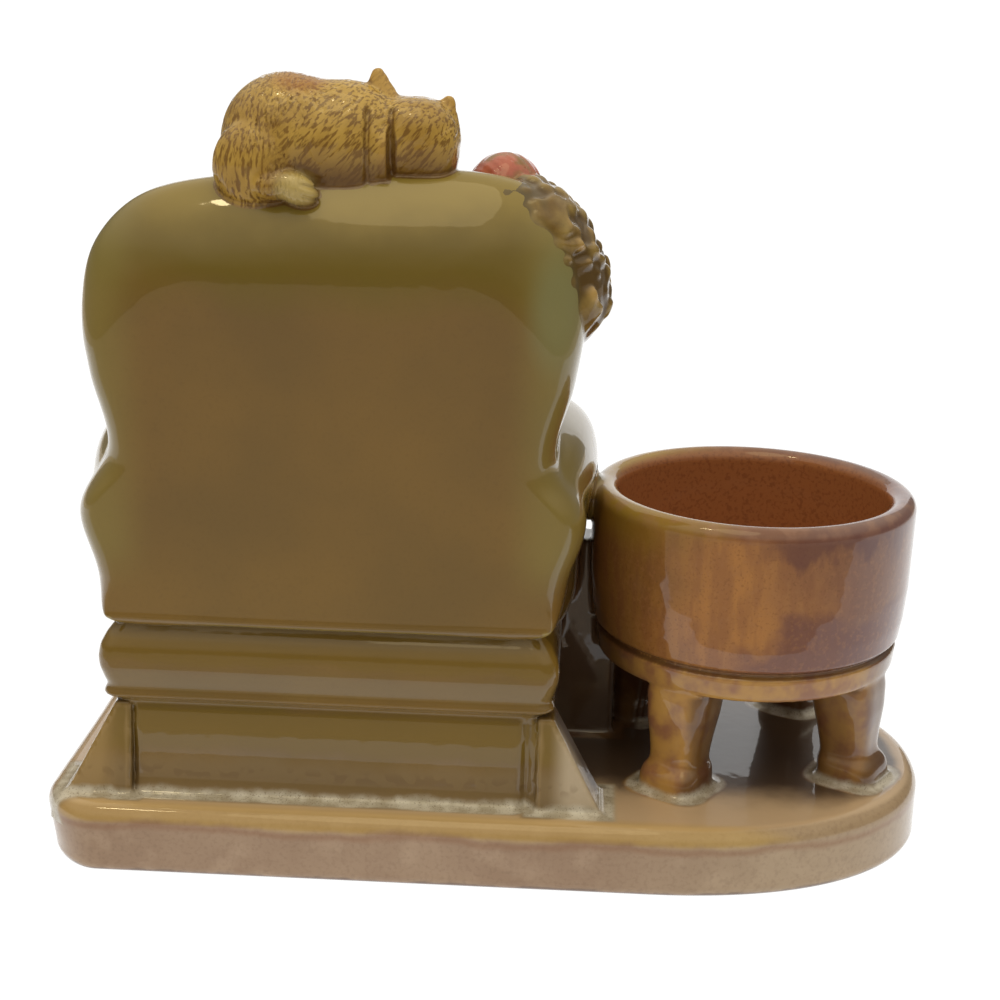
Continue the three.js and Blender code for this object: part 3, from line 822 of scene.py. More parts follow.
BACK_HALF = (
    (12, BAND_TOP - 0.6),
    (LEDGE - 1.5, BAND_TOP - 0.4),
    (LEDGE, BAND_TOP + 1),
    (LEDGE + 1.6, BAND_TOP + 8),
    (ARM_BULGE, ARM_HEIGHT - 4.4),
    (WAIST, 64.4),
    (SHOULDER - 1.1, 75.5),
    (SHOULDER, 85.5),
    (SHOULDER - 2.2, BACK_TOP - 9.8),
    (SHOULDER - 9, BACK_TOP - 2.8),
    (8, BACK_TOP),
)
BACK_OUTLINE = smooth_outline(BACK_HALF + tuple((-x, z) for x, z in BACK_HALF[::-1]), BACK_CENTRE, 1.0)
ARM_INNER = ARM_BULGE - 2 * ARM_ROLL
ARM_POINTS = (
    (LEDGE, BAND_TOP - 3),
    (LEDGE + 1.8, BAND_TOP + 8),
    (ARM_BULGE, ARM_HEIGHT - 0.5),
    (ARM_BULGE - 2.4, ARM_HEIGHT + 5.4),
    (ARM_BULGE - ARM_ROLL, ARM_HEIGHT + ARM_ROLL),
    (ARM_INNER + 2, ARM_HEIGHT + 5.2),
    (ARM_INNER, ARM_HEIGHT - 0.5),
    (ARM_INNER + 0.8, BAND_TOP + 10),
    (ARM_INNER + 0.8, BAND_TOP - 3),
)
ARM_OUTLINE = smooth_outline(ARM_POINTS, (ARM_INNER + ARM_ROLL - 0.4, 51.0), 1.0)


def chair_back(points):
    x, y, z = points.T
    across = np.abs(x - CHAIR_X)
    z = z - BACK_TILT * (x - CHAIR_X) * ease(z, ROLL_START - 3, BACK_TOP)
    flat = outline_distance(BACK_OUTLINE, across, z)
    roll = SIDE_ROLL + (TOP_ROLL - SIDE_ROLL) * ease(z, 79, 94) - ROLL_LOST_AT_FOOT * ease(z, 45, 39)
    rise = np.maximum(z - ROLL_START, 0) / (BACK_TOP - ROLL_START)
    middle = (BACK_NEAR + BACK_FAR) / 2
    forward = ROLL_FORWARD * np.minimum(rise, 1.2) ** 2 * ease(y, middle + 6, middle - 6)
    lip = LIP_HEIGHT * np.exp(-(((z - BAND_TOP - LIP_PLACE) / LIP_WIDTH) ** 2))
    fall = SWELL * ((across / WAIST) ** 2 + ((z - SWELL_HEIGHT) / SWELL_REACH) ** 2)
    half = (BACK_FAR - BACK_NEAR) / 2 + lip - fall
    return stuffed(flat, roll, y - forward - middle, half, 2.3)


def chair_arms(points):
    x, y, z = points.T
    flare = ARM_FLARE * np.clip((y - ARM_NEAR) / (ARM_FRONT - ARM_NEAR), 0, 1)
    flat = outline_distance(ARM_OUTLINE, np.abs(x - CHAIR_X) - flare, z)
    return stuffed(flat, CUSHION_ROLL, y - (ARM_NEAR + ARM_FRONT) / 2, (ARM_FRONT - ARM_NEAR) / 2)


def seat_cushion(points):
    x, y, z = points.T
    out = np.abs(y - (SEAT_BACK + SEAT_FRONT) / 2)
    flat = rounded(np.abs(x - CHAIR_X) - SEAT_HALF_WIDTH, out - (SEAT_FRONT - SEAT_BACK) / 2, SEAT_CORNER)
    middle = (SEAT_BOTTOM + SEAT_TOP) / 2
    welt = WELT_HEIGHT * np.exp(-(((z - middle) / WELT_WIDTH) ** 2))
    half = (SEAT_TOP - SEAT_BOTTOM) / 2 - CUSHION_DIP * np.exp(np.minimum(flat, 0) / 6)
    return stuffed(flat - welt, CUSHION_ROLL, z - middle, half, 2.3)


def armchair_body(points):
    body = luted(chair_back(points), chair_arms(points), 2.0)
    body = luted(body, seat_cushion(points), 0.4)
    return np.maximum(body + wobble(points), CHAIR_ROOT - points[:, 2])


# The chair's rolled sides, coated greener and lighter: partly glaze colour, partly a painted highlight.
def upholstered_side(points):
    return ease(np.abs(right_of_chair(points)), 25, 33) * ease(points[:, 2], 42, 52)


def shoulder_groove(points):
    """The greenish hollow in the back under the shawl."""
    return 1 - ease(np.hypot((points[:, 0] - 8) / 5, (points[:, 2] - 87) / 11), 0.3, 1.1)


def make_armchair():
    shape, skin = lapped(armchair_body, base_body, 0.6)
    low = (CHAIR_X - ARM_BULGE - ARM_FLARE - 1, BACK_NEAR - 1, CHAIR_ROOT - 0.2)
    high = (CHAIR_X + ARM_BULGE + ARM_FLARE + 1, SEAT_FRONT + 1, BACK_TOP + 2.5)
    marks = {"side": upholstered_side, "groove": shoulder_groove}
    armchair = cast("armchair", shape, low, high, 0.58, marks, skin)
    glaze = Glaze("armchair_glaze")
    level = glaze.wander(glaze.along("Z"), 12, 4)
    colour = glaze.coats(
        olive_coat(glaze),
        (ROLL_OLIVE, glaze.step(level, 86, 96), 0.85),
        # A lighter golden crest along the roll: a painted highlight where the roll faces the light from
        # above.
        (CREST_HIGHLIGHT_GOLD, glaze.step(level, 97, 105), 0.6),
        # Paler edges: partly glaze run thin, partly a painted highlight.
        (EDGE_GOLD, glaze.mark("thin", 0.04, 0.35), 0.75),
        # Greener, lighter rolled sides: partly glaze colour, partly a painted highlight.
        (SIDE_GREEN_HIGHLIGHT, glaze.mark("side"), 0.55),
        (GROOVE_GREEN, glaze.mark("groove"), 0.5),
        # Dark creases: partly glaze gathered in the hollows, partly painted shade.
        (CREASE_BROWN, glaze.mark("pool", 0.15, 0.6), 0.45),
    )
    armchair.data.materials.append(glaze.fire(colour))
    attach(armchair, "root")
    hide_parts("candle_holder")


make_armchair()


# Cat: asleep along the roll, its rump at the outer side, one hind paw let down over the back, a collar
# round its neck and its head turned to the seat. Pressed separately, luted on, its fur scratched in.
CAT_Y, CAT_TOP, RUMP, FACE = -13.5, 118.6, -41.35, -7.1
COLLAR_X, COLLAR_Z, COLLAR_RADIUS, COLLAR_HALF = -17.95, 107.8, 6.6, 1.15
EAR_TIP, EAR_ROOT, EAR_LENGTH, EAR_FLATNESS = 0.6, 3.4, 5.4, 0.62
# Each ear's place and its lean in degrees.
EARS = (((COLLAR_X - 0.6, CAT_Y, 116.6), -6), ((FACE - 2.1, CAT_Y, 113.1), 20))
TAIL_RADIUS = 1.8
TAIL = (
    (RUMP + 3, CAT_Y + 3, 106),
    (RUMP + 5, CAT_Y + 8.2, 104.7),
    (RUMP + 13, CAT_Y + 9.4, 103.8),
    (RUMP + 22, CAT_Y + 8.6, 103.8),
)
UPRIGHT_FUR, SLANTING_FUR = 4, 40
FUR_DEPTH = 0.07
STRAW = "d0ae58"
DARK_STRAW = "b59243"
STROKE_BROWN = "684216"
RIDGE_GOLD = "d2a95c"
HOLLOW_BROWN = "5a3b1a"
BELLY_SHADE_BROWN = "6c4b20"
PAW_HIGHLIGHT_CREAM = "d8c682"
RUST = "a8621e"


def turned(one, other, degrees):
    """Two coordinates as they read along directions turned by so many degrees."""
    c, s = np.cos(np.radians(degrees)), np.sin(np.radians(degrees))
    return one * c + other * s, other * c - one * s


def lump(points, centre, radii, lean=0.0, turn=0.0, fullness=2.0):
    """A rounded lump of clay, leaning by degrees about Y and turned by degrees about Z."""
    x, y, z = (points - centre).T
    x, y = turned(x, y, turn)
    x, z = turned(x, z, -lean)
    shares = [np.abs(v) / r for v, r in zip((x, y, z), radii)]
    whole = sum(share**fullness for share in shares) ** (1 / fullness)
    slope = np.sqrt(sum((share ** (fullness - 1) / r) ** 2 for share, r in zip(shares, radii)))
    slope = slope * np.maximum(whole, 1e-6) ** (1 - fullness)
    return (whole - 1) / np.maximum(slope, 0.3 / max(radii))


def tube(points, route, radius):
    """A rope of clay along a route of points."""
    nearest = np.full(len(points), 1e9)
    for start, end in zip(route[:-1], route[1:]):
        run = end - start
        share = np.clip((points - start) @ run / (run @ run), 0, 1)
        nearest = np.minimum(nearest, np.linalg.norm(points - start - share[:, None] * run, axis=1))
    return nearest - radius


def lumps_of_noise(points, size, seed):
    """Smooth noise from 0 to 1, with lumps of that size in millimetres."""
    place = points / size + 17.31 * seed
    cell = np.floor(place).astype(np.int64)
    part = place - cell
    part = part * part * (3 - 2 * part)
    total = np.zeros(len(points))
    for corner in np.ndindex(2, 2, 2):
        i, j, k = (cell + corner).T
        # Large primes scramble a cell's place into a number that looks random.
        mixed = (i * 73856093) ^ (j * 19349663) ^ (k * 83492791) ^ (seed * 2654435)
        mixed = (mixed ^ (mixed >> 13)) * 1274126177
        total += np.where(corner, part, 1 - part).prod(1) * ((mixed >> 8) & 0xFFFF) / 0xFFFF
    return total


def ear(points, centre, lean):
    x, y, z = (points - centre).T
    x, z = turned(x, z, -lean)
    taper = (EAR_ROOT - EAR_TIP) / EAR_LENGTH
    radius = (EAR_ROOT + EAR_TIP) / 2 - taper * z
    outer = (np.hypot(x, y / EAR_FLATNESS) - radius) * 0.8
    inner = (np.hypot(x, (y - 1.5) / EAR_FLATNESS) - radius * 0.62) * 0.8
    return trimmed(trimmed(outer, np.abs(z) - EAR_LENGTH / 2, 0.8), -inner, 0.5)


def fur_strokes(points):
    """The scratched strokes of fur, 1 in each: upright on the rump and slanting along the flank."""
    x, y, z = points.T
    angle = UPRIGHT_FUR + (SLANTING_FUR - UPRIGHT_FUR) * ease(x, RUMP + 3, RUMP + 16)
    across, along = turned(x, z, -angle)
    sway = lumps_of_noise(points, 5.0, 3) * 1.6
    place = np.stack([across + sway, y, along], 1)
    fine = lumps_of_noise(place, (0.62, 0.8, 3.4), 5)
    coarse = lumps_of_noise(place, (1.2, 1.4, 5.0), 8)
    return ease(0.65 * fine + 0.35 * coarse, 0.5, 0.72)


def smooth_route(points, steps=6):
    """Points along a curve through the given ones."""
    ends = np.array(points, float)
    padded = np.concatenate([2 * ends[:1] - ends[1:2], ends, 2 * ends[-1:] - ends[-2:-1]])
    s = np.linspace(0, 1, steps, endpoint=False)[:, None, None]
    a, b, c, d = padded[:-3], padded[1:-2], padded[2:-1], padded[3:]
    bend, twist = 2 * a - 5 * b + 4 * c - d, 3 * b - a - 3 * c + d
    curve = 0.5 * (2 * b + (c - a) * s + bend * s**2 + twist * s**3)
    return np.concatenate([curve.transpose(1, 0, 2).reshape(-1, 3), ends[-1:]])


TAIL_ROUTE = smooth_route(TAIL)


def cat_trunk(points):
    """Rump and flank, with the thigh and the hind paw that hangs over the back of the chair."""
    x, _, z = points.T
    rump = lump(points, (RUMP + 9.4, CAT_Y, CAT_TOP - 10), (9.5, 8, 9.9), 7)
    flank = lump(points, (-23.4, CAT_Y, 108.4), (10.3, 7.2, 9.2), 4)
    thigh = lump(points, (RUMP + 6.3, CAT_Y - 4.8, 105.6), (6.7, 4.4, 6.9), 14)
    hock = lump(points, (RUMP + 8.6, CAT_Y - 7.5, 103.1), (3.1, 2.5, 2.1))
    paw = luted(hock, lump(points, (RUMP + 11.9, CAT_Y - 8, 102.9), (3.5, 2.4, 2.2), 24), 0.9)
    toes = np.exp(-(((np.abs(z - 102.5 + 0.35 * (x - RUMP - 14)) - 0.75) / 0.3) ** 2))
    paw = paw + 0.35 * toes * ease(x, RUMP + 12.6, RUMP + 13.6)
    return luted(luted(rump, flank, 3.2), luted(thigh, paw, 1.2), 0.7)


def cat_head(points):
    """Skull, muzzle, the cheek turned to the seat, and both ears."""
    skull = lump(points, (FACE - 6.9, CAT_Y + 0.6, 109.4), (6.9, 6.3, 6.1), fullness=2.6)
    muzzle = lump(points, (FACE - 3.1, CAT_Y + 0.4, 108.1), (3.1, 5.2, 4.9), fullness=2.6)
    cheek = lump(points, (FACE - 6.7, CAT_Y + 5.7, 107.7), (3.4, 2.5, 2.5))
    head = luted(luted(skull, muzzle, 1.2), cheek, 1.0)
    for place, lean in EARS:
        head = luted(head, ear(points, place, lean), 1.2)
    return head


def cat_forms(points):
    """The cat without its fur and collar, creased on both sides of the collar."""
    x, _, z = points.T
    foreleg = lump(points, (-21.8, CAT_Y + 5.4, 104.2), (7.6, 2.5, 2.3), turn=8)
    foreleg = luted(foreleg, lump(points, (-15.1, CAT_Y + 6.3, 104), (3.2, 2.2, 1.9)), 0.8)
    body = luted(cat_trunk(points), foreleg, 0.8)
    body = luted(body, cat_head(points), 0.8)
    crease = np.exp(-(((np.abs(x - COLLAR_X) - COLLAR_HALF - 0.5) / 0.5) ** 2))
    body = body + 0.5 * crease * ease(z, 115, 113)
    return luted(body, tube(points, TAIL_ROUTE, TAIL_RADIUS), 0.7)


def cat_collar(points):
    x, y, z = points.T
    ring = np.hypot((y - CAT_Y) / 0.98, (z - COLLAR_Z) / 0.94) - COLLAR_RADIUS
    return trimmed(ring * 0.95, np.abs(x - COLLAR_X) - COLLAR_HALF, 0.9)


def cat_body(points):
    form = cat_forms(points)
    close = np.abs(form) < 1
    fur = np.zeros(len(points))
    fur[close] = fur_strokes(points[close])
    return luted(form + FUR_DEPTH * fur, cat_collar(points), 0.3)


def patch(centre, reach, start):
    """A mark that is 1 within its start and fades out by its reach along X, Y and Z from the centre."""
    return lambda points: 1 - ease(np.linalg.norm((points - centre) / reach, axis=1), start, 1.1)


def onto_chair(body, start, end):
    """A mark that rises towards the seam where a body is luted onto the armchair."""
    return lambda points: ease(body(points) - armchair_body(points), start, end)


def make_cat():
    shape, skin = lapped(cat_body, armchair_body, 0.9)
    low = (RUMP - 2, CAT_Y - 12.5, 97.5)
    high = (FACE + 1, CAT_Y + 12.5, 120)
    marks = {
        "onto": onto_chair(cat_body, 0.1, 0.9),
        "paw": patch((RUMP + 12.5, CAT_Y - 9, 103), (4, 4, 3), 0.5),
        "rust": patch((-29.5, CAT_Y - 3, 118), (5, 6, 3), 0.4),
    }
    cat = cast("cat", shape, low, high, 0.24, marks, skin)
    glaze = Glaze("cat_glaze")
    upright = glaze.cloud(0.45, 0.47, 0.62, 2.0, (1, 1, 5), turn=UPRIGHT_FUR)
    slanting = glaze.cloud(0.45, 0.47, 0.62, 2.0, (1, 1, 5), shift=9, turn=SLANTING_FUR)
    flank = glaze.step(glaze.along("X"), RUMP + 6, RUMP + 12)
    # The lower flank is painted darker: painted shade under the body.
    belly_shade = glaze.times(glaze.step(glaze.along("Z"), 110.5, 103.5), flank)
    colour = glaze.coats(
        STRAW,
        (DARK_STRAW, glaze.cloud(5, 0.3, 0.7)),
        (STROKE_BROWN, glaze.over(upright, slanting, flank), 0.7),
        # Golden ridges: partly glaze run thin, partly painted highlights.
        (RIDGE_GOLD, glaze.mark("thin", 0.15, 0.5), 0.5),
        # Dark hollows: partly glaze gathered, partly painted shade.
        (HOLLOW_BROWN, glaze.mark("pool", 0.1, 0.5), 0.7),
        (BELLY_SHADE_BROWN, belly_shade, 0.85),
        # A pale cream paw: a painted highlight on the hanging paw.
        (PAW_HIGHLIGHT_CREAM, glaze.mark("paw"), 0.75),
        (RUST, glaze.mark("rust"), 0.5),
        (olive_coat(glaze), glaze.mark("onto")),
    )
    cat.data.materials.append(glaze.fire(colour))
    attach(cat, "root")
    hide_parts("candle_holder")


make_cat()


# Shawl: hung over the shoulder beside the tub with its other end let down in front, knitted in rows of
# bobbles. Pressed clay, its bobbles rolled on one by one, with a smooth hem.
SHAWL_NEAR, SHAWL_FAR, SHAWL_FOLD = -20.0, -3.5, -9.5
SHAWL_OVER_POINTS = (
    (-5.4, 100.8), (-1.4, 104.2), (5, 104.4), (10.5, 100.4), (14.1, 95), (15.8, 88.8),
    (14.9, 83.8), (11.6, 79.8), (7, 81.7), (3.8, 88.4), (-1, 96),
)
SHAWL_DOWN_POINTS = (
    (-4, 100), (4.2, 100.6), (9.6, 95), (10.4, 83.6),
    (9.6, 73.3), (5.6, 70.1), (0.6, 72.3), (-1.8, 83.6),
)
SHAWL_OVER = smooth_outline(SHAWL_OVER_POINTS, (5.8, 91.6), 1.5)
SHAWL_DOWN = smooth_outline(SHAWL_DOWN_POINTS, (3.8, 85.6), 1.5)
# The rows of bobbles fan out round a point inside the chair's shoulder, on a circle of this radius.
FAN_X, FAN_Z, FAN_RADIUS = -6.6, 81.9, 19
ROW_PITCH, BOBBLE_PITCH, BOBBLE_STRETCH = 4.0, 4.0, 1.8
# For each end of the shawl: how far the cloth lies back between the bobbles, how far they rise, and the
# heights where the smooth hem ends and the bobbles are full.
OVER_KNIT = (0.6, 0.95, 80.5, 87)
DOWN_KNIT = (0.4, 0.5, 72, 78)
OVER_ROLL, DOWN_ROLL = 5.5, 3.0
KNOB_GOLD = "a58e50"
KNOB_BROWN = "785e2a"
KNOB_GREEN = "6a5a34"
KNOB_CREAM = "d2ae6c"
KNIT_SHADE = "5c461d"
SEAM_GREEN = "5e5a38"
HEM_BROWN = "4b3419"


def bobbles(points):
    """Uneven rows of knobs, from 0 between them to 1 on each, longer down the side than on top."""
    x, y, z = points.T
    turn = np.arctan2(z - FAN_Z, x - FAN_X) * FAN_RADIUS
    sway = lumps_of_noise(points, 6.0, 11) * 3.0
    pitch = ROW_PITCH + BOBBLE_STRETCH * ease(z, 97, 86)
    rows = np.cos((turn + sway) * 2 * math.pi / pitch)
    rows = rows * np.cos((y + 0.7 * sway) * 2 * math.pi / BOBBLE_PITCH)
    crumpled = lumps_of_noise(np.stack([turn + sway, y, 0 * y], 1), (3.4, 2.6, 1.0), 14)
    return ease(0.35 * rows + 1.5 * (crumpled - 0.5), -0.55, 0.55)


def knitted(cloth, knit, z, set_back, rise, hem, full):
    """Cloth with bobbles down to its hem."""
    return cloth + set_back - rise * knit * ease(z, hem, full)


def shawl_body(points):
    x, y, z = points.T
    far = SHAWL_FAR + 1
    over = outline_distance(SHAWL_OVER, x, z)
    over = stuffed(over, OVER_ROLL, y - (SHAWL_NEAR + SHAWL_FAR) / 2, (SHAWL_FAR - SHAWL_NEAR) / 2, 2.1)
    down = outline_distance(SHAWL_DOWN, x, z)
    down = stuffed(down, DOWN_ROLL, y - (SHAWL_FOLD + far) / 2, (far - SHAWL_FOLD) / 2)
    knit = bobbles(points)
    return luted(knitted(over, knit, z, *OVER_KNIT), knitted(down, knit, z, *DOWN_KNIT), 0.8)


def make_shawl():
    shape, skin = lapped(shawl_body, armchair_body, 0.8)
    low, high = (-8, -21, 69), (17.5, -1.5, 106)
    marks = {"bobbles": bobbles, "onto": onto_chair(shawl_body, -0.6, 0.8)}
    shawl = cast("shawl", shape, low, high, 0.3, marks, skin)
    glaze = Glaze("shawl_glaze")
    knobs = glaze.over(KNOB_GOLD, KNOB_BROWN, glaze.cloud(4, 0.3, 0.7))
    knobs = glaze.over(knobs, KNOB_GREEN, glaze.cloud(2.5, 0.5, 0.7, shift=4), 0.5)
    colour = glaze.coats(
        KNIT_SHADE,
        (knobs, glaze.mark("bobbles", 0.15, 0.85)),
        # Cream knob tops: partly glaze run thin, partly painted highlights.
        (KNOB_CREAM, glaze.mark("thin", 0.1, 0.5), 0.6),
        (SEAM_GREEN, glaze.mark("onto"), 0.5),
        (HEM_BROWN, glaze.step(glaze.along("Z"), 83.5, 81), 0.75),
    )
    shawl.data.materials.append(glaze.fire(colour))
    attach(shawl, "root")
    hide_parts("candle_holder")


make_shawl()


# Ball of wool: a red ball wound in three directions, rolled from clay and scored round with a needle, and
# pressed into the top of the shawl.
WOOL_CENTRE = np.array((-0.5, -8.0, 101.9))
WOOL_RADIUS = 5.7
WINDINGS = ((0.8, 0.5, 0.33), (-0.5, 0.75, 0.43), (0.1, -0.6, 0.79))
STRAND_PITCH, STRAND_DEPTH = 1.15, 0.06
WOOL_RED = "c26c59"
WOOL_ROSE = "b05c50"
WOOL_OLIVE = "8c6a38"


def wool_body(points):
    out = points - WOOL_CENTRE
    strands = np.stack([out @ winding for winding in WINDINGS])
    wound = np.cos(strands * 2 * math.pi / STRAND_PITCH) * 0.5 + 0.5
    side = np.abs(np.stack([strands[1], strands[2], strands[0]]))
    chosen = np.argmin(side, 0)
    relief = np.take_along_axis(wound, chosen[None], 0)[0]
    return np.linalg.norm(out, axis=1) - WOOL_RADIUS + STRAND_DEPTH * (1 - relief)


def make_wool():
    def under(points):
        return np.minimum(shawl_body(points), armchair_body(points))

    shape, skin = lapped(wool_body, under, 0.6)
    low, high = WOOL_CENTRE - WOOL_RADIUS - 0.5, WOOL_CENTRE + WOOL_RADIUS + 0.5
    wool = cast("ball_of_wool", shape, low, high, 0.22, {}, skin)
    glaze = Glaze("wool_glaze")
    colour = glaze.over(WOOL_RED, WOOL_OLIVE, glaze.cloud(3.4, 0.4, 0.62))
    colour = glaze.over(colour, WOOL_ROSE, glaze.cloud(1.6, 0.5, 0.7, shift=3), 0.6)
    wool.data.materials.append(glaze.fire(colour))
    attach(wool, "root")
    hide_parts("candle_holder")


make_wool()


# Tub: the round tub that takes the tea light, with a groove near its foot, a rolled rim and four stub
# legs with thin ankles. Luted to the plinth by its feet, to the chair's arm by a lug over a small gap, and
# to the skirt by a web of clay.
TUB_X, TUB_Y = 39.9, 3.5
TUB_RIM, TUB_BOTTOM = 55.4, 27.4
RECESS_RADIUS, RECESS_FLOOR = 21.5, 37.4
WALL_MIDDLE, WALL_HALF = 23.6, 2.1
LEG_RING = 20.7
LEG_TURNS = (-32, 58, 148, 238)
TUB_REACH = 31.0
TUB_FOOT_EDGE, RECESS_EDGE = 1.8, 2.5
LEG_FULLNESS = 3.6
LEG_TOP = 30
WEB_X, WEB_Y, WEB_HALF_WIDTH, WEB_HALF_DEPTH, WEB_TOP = 12.4, 8.0, 6.6, 4.0, 44.5
TUB_PROFILE = (
    (27.0, 23.9), (31.2, 24.3), (31.8, 23.4), (32.1, 23.4), (32.7, 24.6),
    (36.0, 25.1), (41.0, 25.5), (52.0, 25.7), (58.0, 25.7),
)
TUB_TABLE = smooth_table(TUB_PROFILE, 27, 57, 0.2)
# Height, half width and how far the leg's middle stands in from the ring.
LEG_PROFILE = (
    (7.0, 5.0, 0.0), (12.8, 5.0, 0.0), (13.9, 4.8, 0.3),
    (15.0, 4.1, 0.8), (16.3, 4.1, 1.0), (18.8, 4.4, 1.2),
    (22.5, 5.0, 1.5), (26.0, 5.3, 1.9), (29.8, 5.1, 2.4),
)
LEG_TABLE = smooth_table([row[:2] for row in LEG_PROFILE], ROOT, LEG_TOP, 0.35)
LEG_SET_TABLE = smooth_table([row[::2] for row in LEG_PROFILE], ROOT, LEG_TOP, 0.6)
TUB_TAN = "8f6534"
TUB_ORANGE = "b67e42"
PLUM_BROWN = "765043"
TUB_PURPLE = "6a4040"
STREAK_BROWN = "7a4a34"
PALE_SPECK = "a8764a"
DARK_SPECK = "6e4526"
DRIP_PLUM = "5f3536"
TUB_OLIVE = "957428"
LEG_GOLD = "c09450"
LEG_ROSE = "9a6c4e"
LEG_SHADE = "553624"
LEG_SHADOW_BROWN = "4c3122"
RIM_OLIVE = "a88a3c"
RIM_BROWN = "835a48"
RIM_PLUM = "7c5a56"
RIM_CREAM = "a8806a"
RECESS_RUST = "a56c44"
RECESS_BROWN = "935e3c"
EDGE_TAN = "bf9458"
GROOVE_BROWN = "4a2f1c"
LUG_OLIVE = "7a6a35"
WEB_SHADE_BROWN = "5a483a"


def tub_bowl(points):
    x, y, z = points.T
    out = np.hypot(x - TUB_X, y - TUB_Y)
    heights, radii, slopes = TUB_TABLE
    wall = (out - np.interp(z, heights, radii)) / np.sqrt(1 + np.interp(z, heights, slopes) ** 2)
    rim_middle = TUB_RIM - WALL_HALF
    body = trimmed(wall, TUB_BOTTOM - z, TUB_FOOT_EDGE)
    body = np.maximum(body, z - rim_middle)
    body = np.minimum(body, np.hypot(out - WALL_MIDDLE, z - rim_middle) - WALL_HALF)
    recess = trimmed(out - RECESS_RADIUS, RECESS_FLOOR - z, RECESS_EDGE)
    return np.maximum(body, -recess) + 0.7 * wobble(points)


def tub_leg(points, turn):
    x, y, z = (points - (TUB_X, TUB_Y, 0)).T
    out, along = turned(x, y, turn)
    half, slope = (np.interp(z, LEG_TABLE[0], readings) for readings in LEG_TABLE[1:])
    set_back = np.interp(z, *LEG_SET_TABLE[:2])
    a, b = np.abs(along) / half, np.abs(out - LEG_RING + set_back) / half
    whole = (a**LEG_FULLNESS + b**LEG_FULLNESS) ** (1 / LEG_FULLNESS)
    return np.maximum((whole - 1) * half / np.sqrt(1 + slope**2), z - LEG_TOP)


def shaded_right_faces(points):
    """Painted shade on the faces of the legs that are turned to the plinth's wide round end."""
    turns = np.radians(LEG_TURNS)
    places = np.stack([TUB_X + LEG_RING * np.cos(turns), TUB_Y + LEG_RING * np.sin(turns)], 1)
    out = points[:, None, :2] - places
    nearest = np.argmin(np.linalg.norm(out, axis=2), 1)
    out = out[np.arange(len(points)), nearest]
    towards = out @ (math.cos(turns[0]), math.sin(turns[0]))
    return ease(towards, 2.4, 4.2) * ease(points[:, 2], 27.6, 26.6)


def lug(points):
    x = (CHAIR_X + ARM_BULGE + TUB_X - WALL_MIDDLE - WALL_HALF) / 2
    return lump(points, (x, TUB_Y, TUB_RIM - 2.6), (2.6, 4.4, 3.6))


def web(points):
    """The thick web of clay that closes the narrow space between the chair's side and the tub."""
    x, y, z = points.T
    upright = trimmed(np.abs(x - WEB_X) - WEB_HALF_WIDTH, np.abs(y - WEB_Y) - WEB_HALF_DEPTH, 1.5)
    return trimmed(upright, z - WEB_TOP, 2.0)


def tub_body(points):
    under_root = ROOT - points[:, 2]
    legs = np.min([tub_leg(points, turn) for turn in LEG_TURNS], 0)
    body = luted(tub_bowl(points), np.maximum(legs, under_root) + 0.5 * wobble(points), 0.5)
    body = luted(body, np.maximum(web(points), under_root), 1.2)
    return luted(body, lug(points), 1.6)


def inside_recess(points):
    out = np.hypot(points[:, 0] - TUB_X, points[:, 1] - TUB_Y)
    return ease(out, RECESS_RADIUS + 1.3, RECESS_RADIUS + 0.1) * ease(points[:, 2], 34, 36)


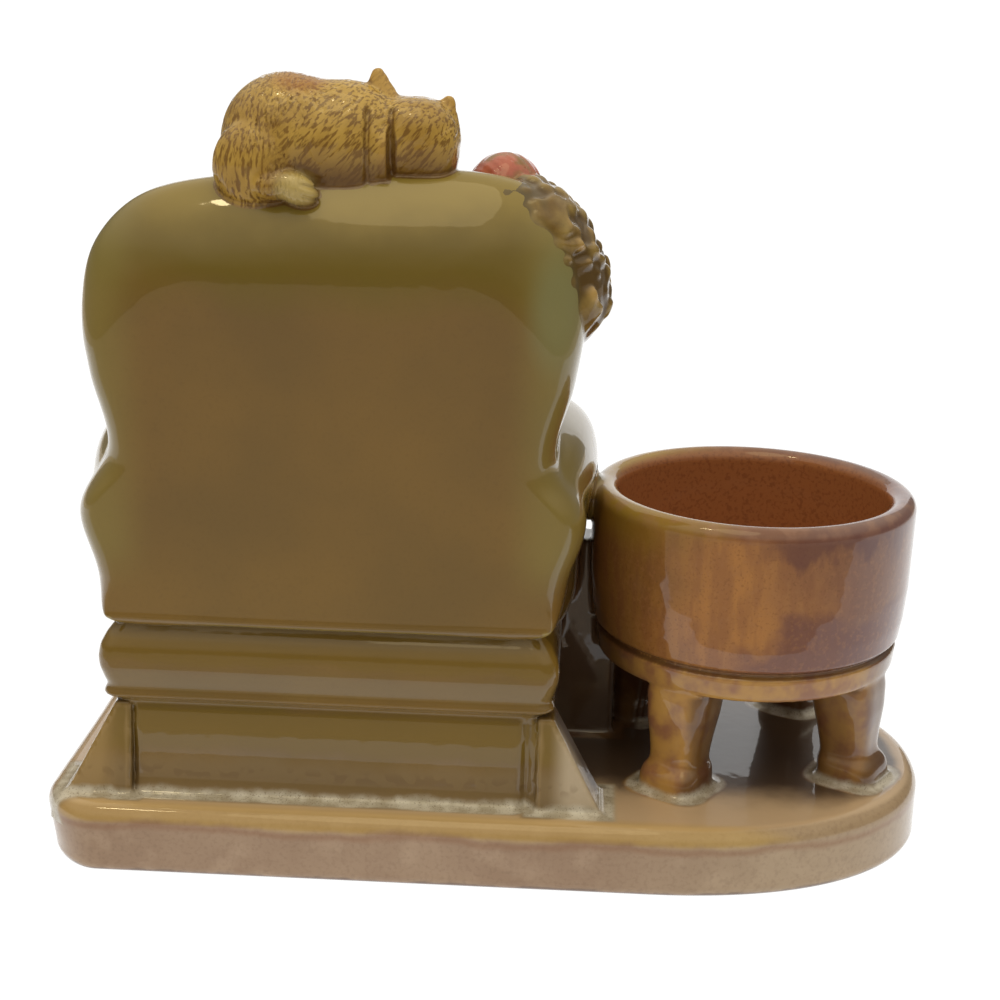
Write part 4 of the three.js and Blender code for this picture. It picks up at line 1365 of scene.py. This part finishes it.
def make_tub():
    def under(points):
        return np.minimum(plinth_body(points), np.minimum(base_body(points), armchair_body(points)))

    shape, skin = lapped(tub_body, under, MILKY_FILLET, GLAZE_SPREAD)
    low = (WEB_X - WEB_HALF_WIDTH - 0.5, TUB_Y - TUB_REACH, ROOT)
    high = (TUB_X + TUB_REACH, TUB_Y + TUB_REACH, TUB_RIM + 0.6)
    marks = {
        "away": away_from(tub_body),
        "shade_on_top": painted_shade_on_top,
        "rim": lambda points: ease(points[:, 2], TUB_RIM - 2.6, TUB_RIM - 0.9),
        "inside": inside_recess,
        "web": lambda points: ease(web(points), 0.9, -0.2),
        "web_foot": lambda points: ease(web(points), 5.0, 3.5),
        "lug": lambda points: ease(lug(points), 1.0, 0.1),
        "shaded_right_face": shaded_right_faces,
    }
    tub = cast("tub", shape, low, high, 0.46, marks, skin)
    glaze = Glaze("tub_glaze")
    height = glaze.along("Z")
    across = glaze.wander(glaze.along("X"), 12, 8)
    lower = glaze.wander(height, 8, 12, shift=6)
    purple = glaze.times(glaze.step(lower, 48, 42), glaze.step(across, TUB_X - 6, TUB_X + 6))
    drips = glaze.wander(height, 3.5, 6, 0.3, 0.7, stretch=(1, 1, 2))
    drips = glaze.times(glaze.step(drips, 51.5, 56), glaze.step(across, TUB_X - 2, TUB_X + 10))
    olive = glaze.times(glaze.step(height, 47, 53), glaze.step(across, TUB_X - 4, TUB_X - 16))
    wall = glaze.coats(
        TUB_TAN,
        (TUB_ORANGE, glaze.step(across, TUB_X - 17, TUB_X - 2)),
        (PLUM_BROWN, glaze.step(across, TUB_X + 2, TUB_X + 19), 0.85),
        (TUB_PURPLE, purple, 0.75),
        (STREAK_BROWN, glaze.cloud(2.2, 0.4, 0.65, 4.0, (1, 1, 4), shift=5), 0.4),
        (PALE_SPECK, glaze.cloud(0.8, 0.5, 0.7, 3.0, shift=3), 0.3),
        (DARK_SPECK, glaze.cloud(0.4, 0.55, 0.7, 2.0), 0.35),
        (DRIP_PLUM, drips, 0.7),
        (TUB_OLIVE, olive, 0.7),
    )
    legs = glaze.over(LEG_GOLD, LEG_ROSE, glaze.cloud(5, 0.4, 0.65, shift=8))
    legs = glaze.over(legs, LEG_SHADE, glaze.step(glaze.along("Y"), TUB_Y - 20.5, TUB_Y - 11), 0.75)
    rim = glaze.coats(
        RIM_OLIVE,
        (RIM_BROWN, glaze.step(across, TUB_X - 14, TUB_X + 2)),
        (RIM_PLUM, glaze.step(across, TUB_X + 4, TUB_X + 18)),
        (RIM_CREAM, glaze.cloud(3, 0.45, 0.65, shift=9), 0.4),
    )
    recess = glaze.over(RECESS_RUST, RECESS_BROWN, glaze.cloud(0.6, 0.5, 0.66, 2.0, shift=1))
    colour = glaze.coats(
        wall,
        (legs, glaze.step(height, 32.6, 31.2)),
        # Painted shade on the legs' faces that are turned away from the light.
        (LEG_SHADOW_BROWN, glaze.mark("shaded_right_face"), 0.7),
        (rim, glaze.mark("rim"), 0.9),
        (recess, glaze.mark("inside")),
        # Tan edges: partly glaze run thin, partly painted highlights.
        (EDGE_TAN, glaze.mark("thin", 0.35, 0.8), 0.35),
        # Dark groove: partly glaze gathered in the hollows, partly painted shade.
        (GROOVE_BROWN, glaze.mark("pool", 0.25, 0.8), 0.5),
        (LUG_OLIVE, glaze.mark("lug")),
        # The web is painted dark brown: painted shade in the narrow space between chair and tub.
        (WEB_SHADE_BROWN, glaze.mark("web")),
    )
    colour = run_out(glaze, colour, glaze.sum(0.85, glaze.times(glaze.mark("web_foot"), 0.8), "SUBTRACT"))
    tub.data.materials.append(glaze.fire(colour))
    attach(tub, "root")
    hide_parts("candle_holder")


make_tub()
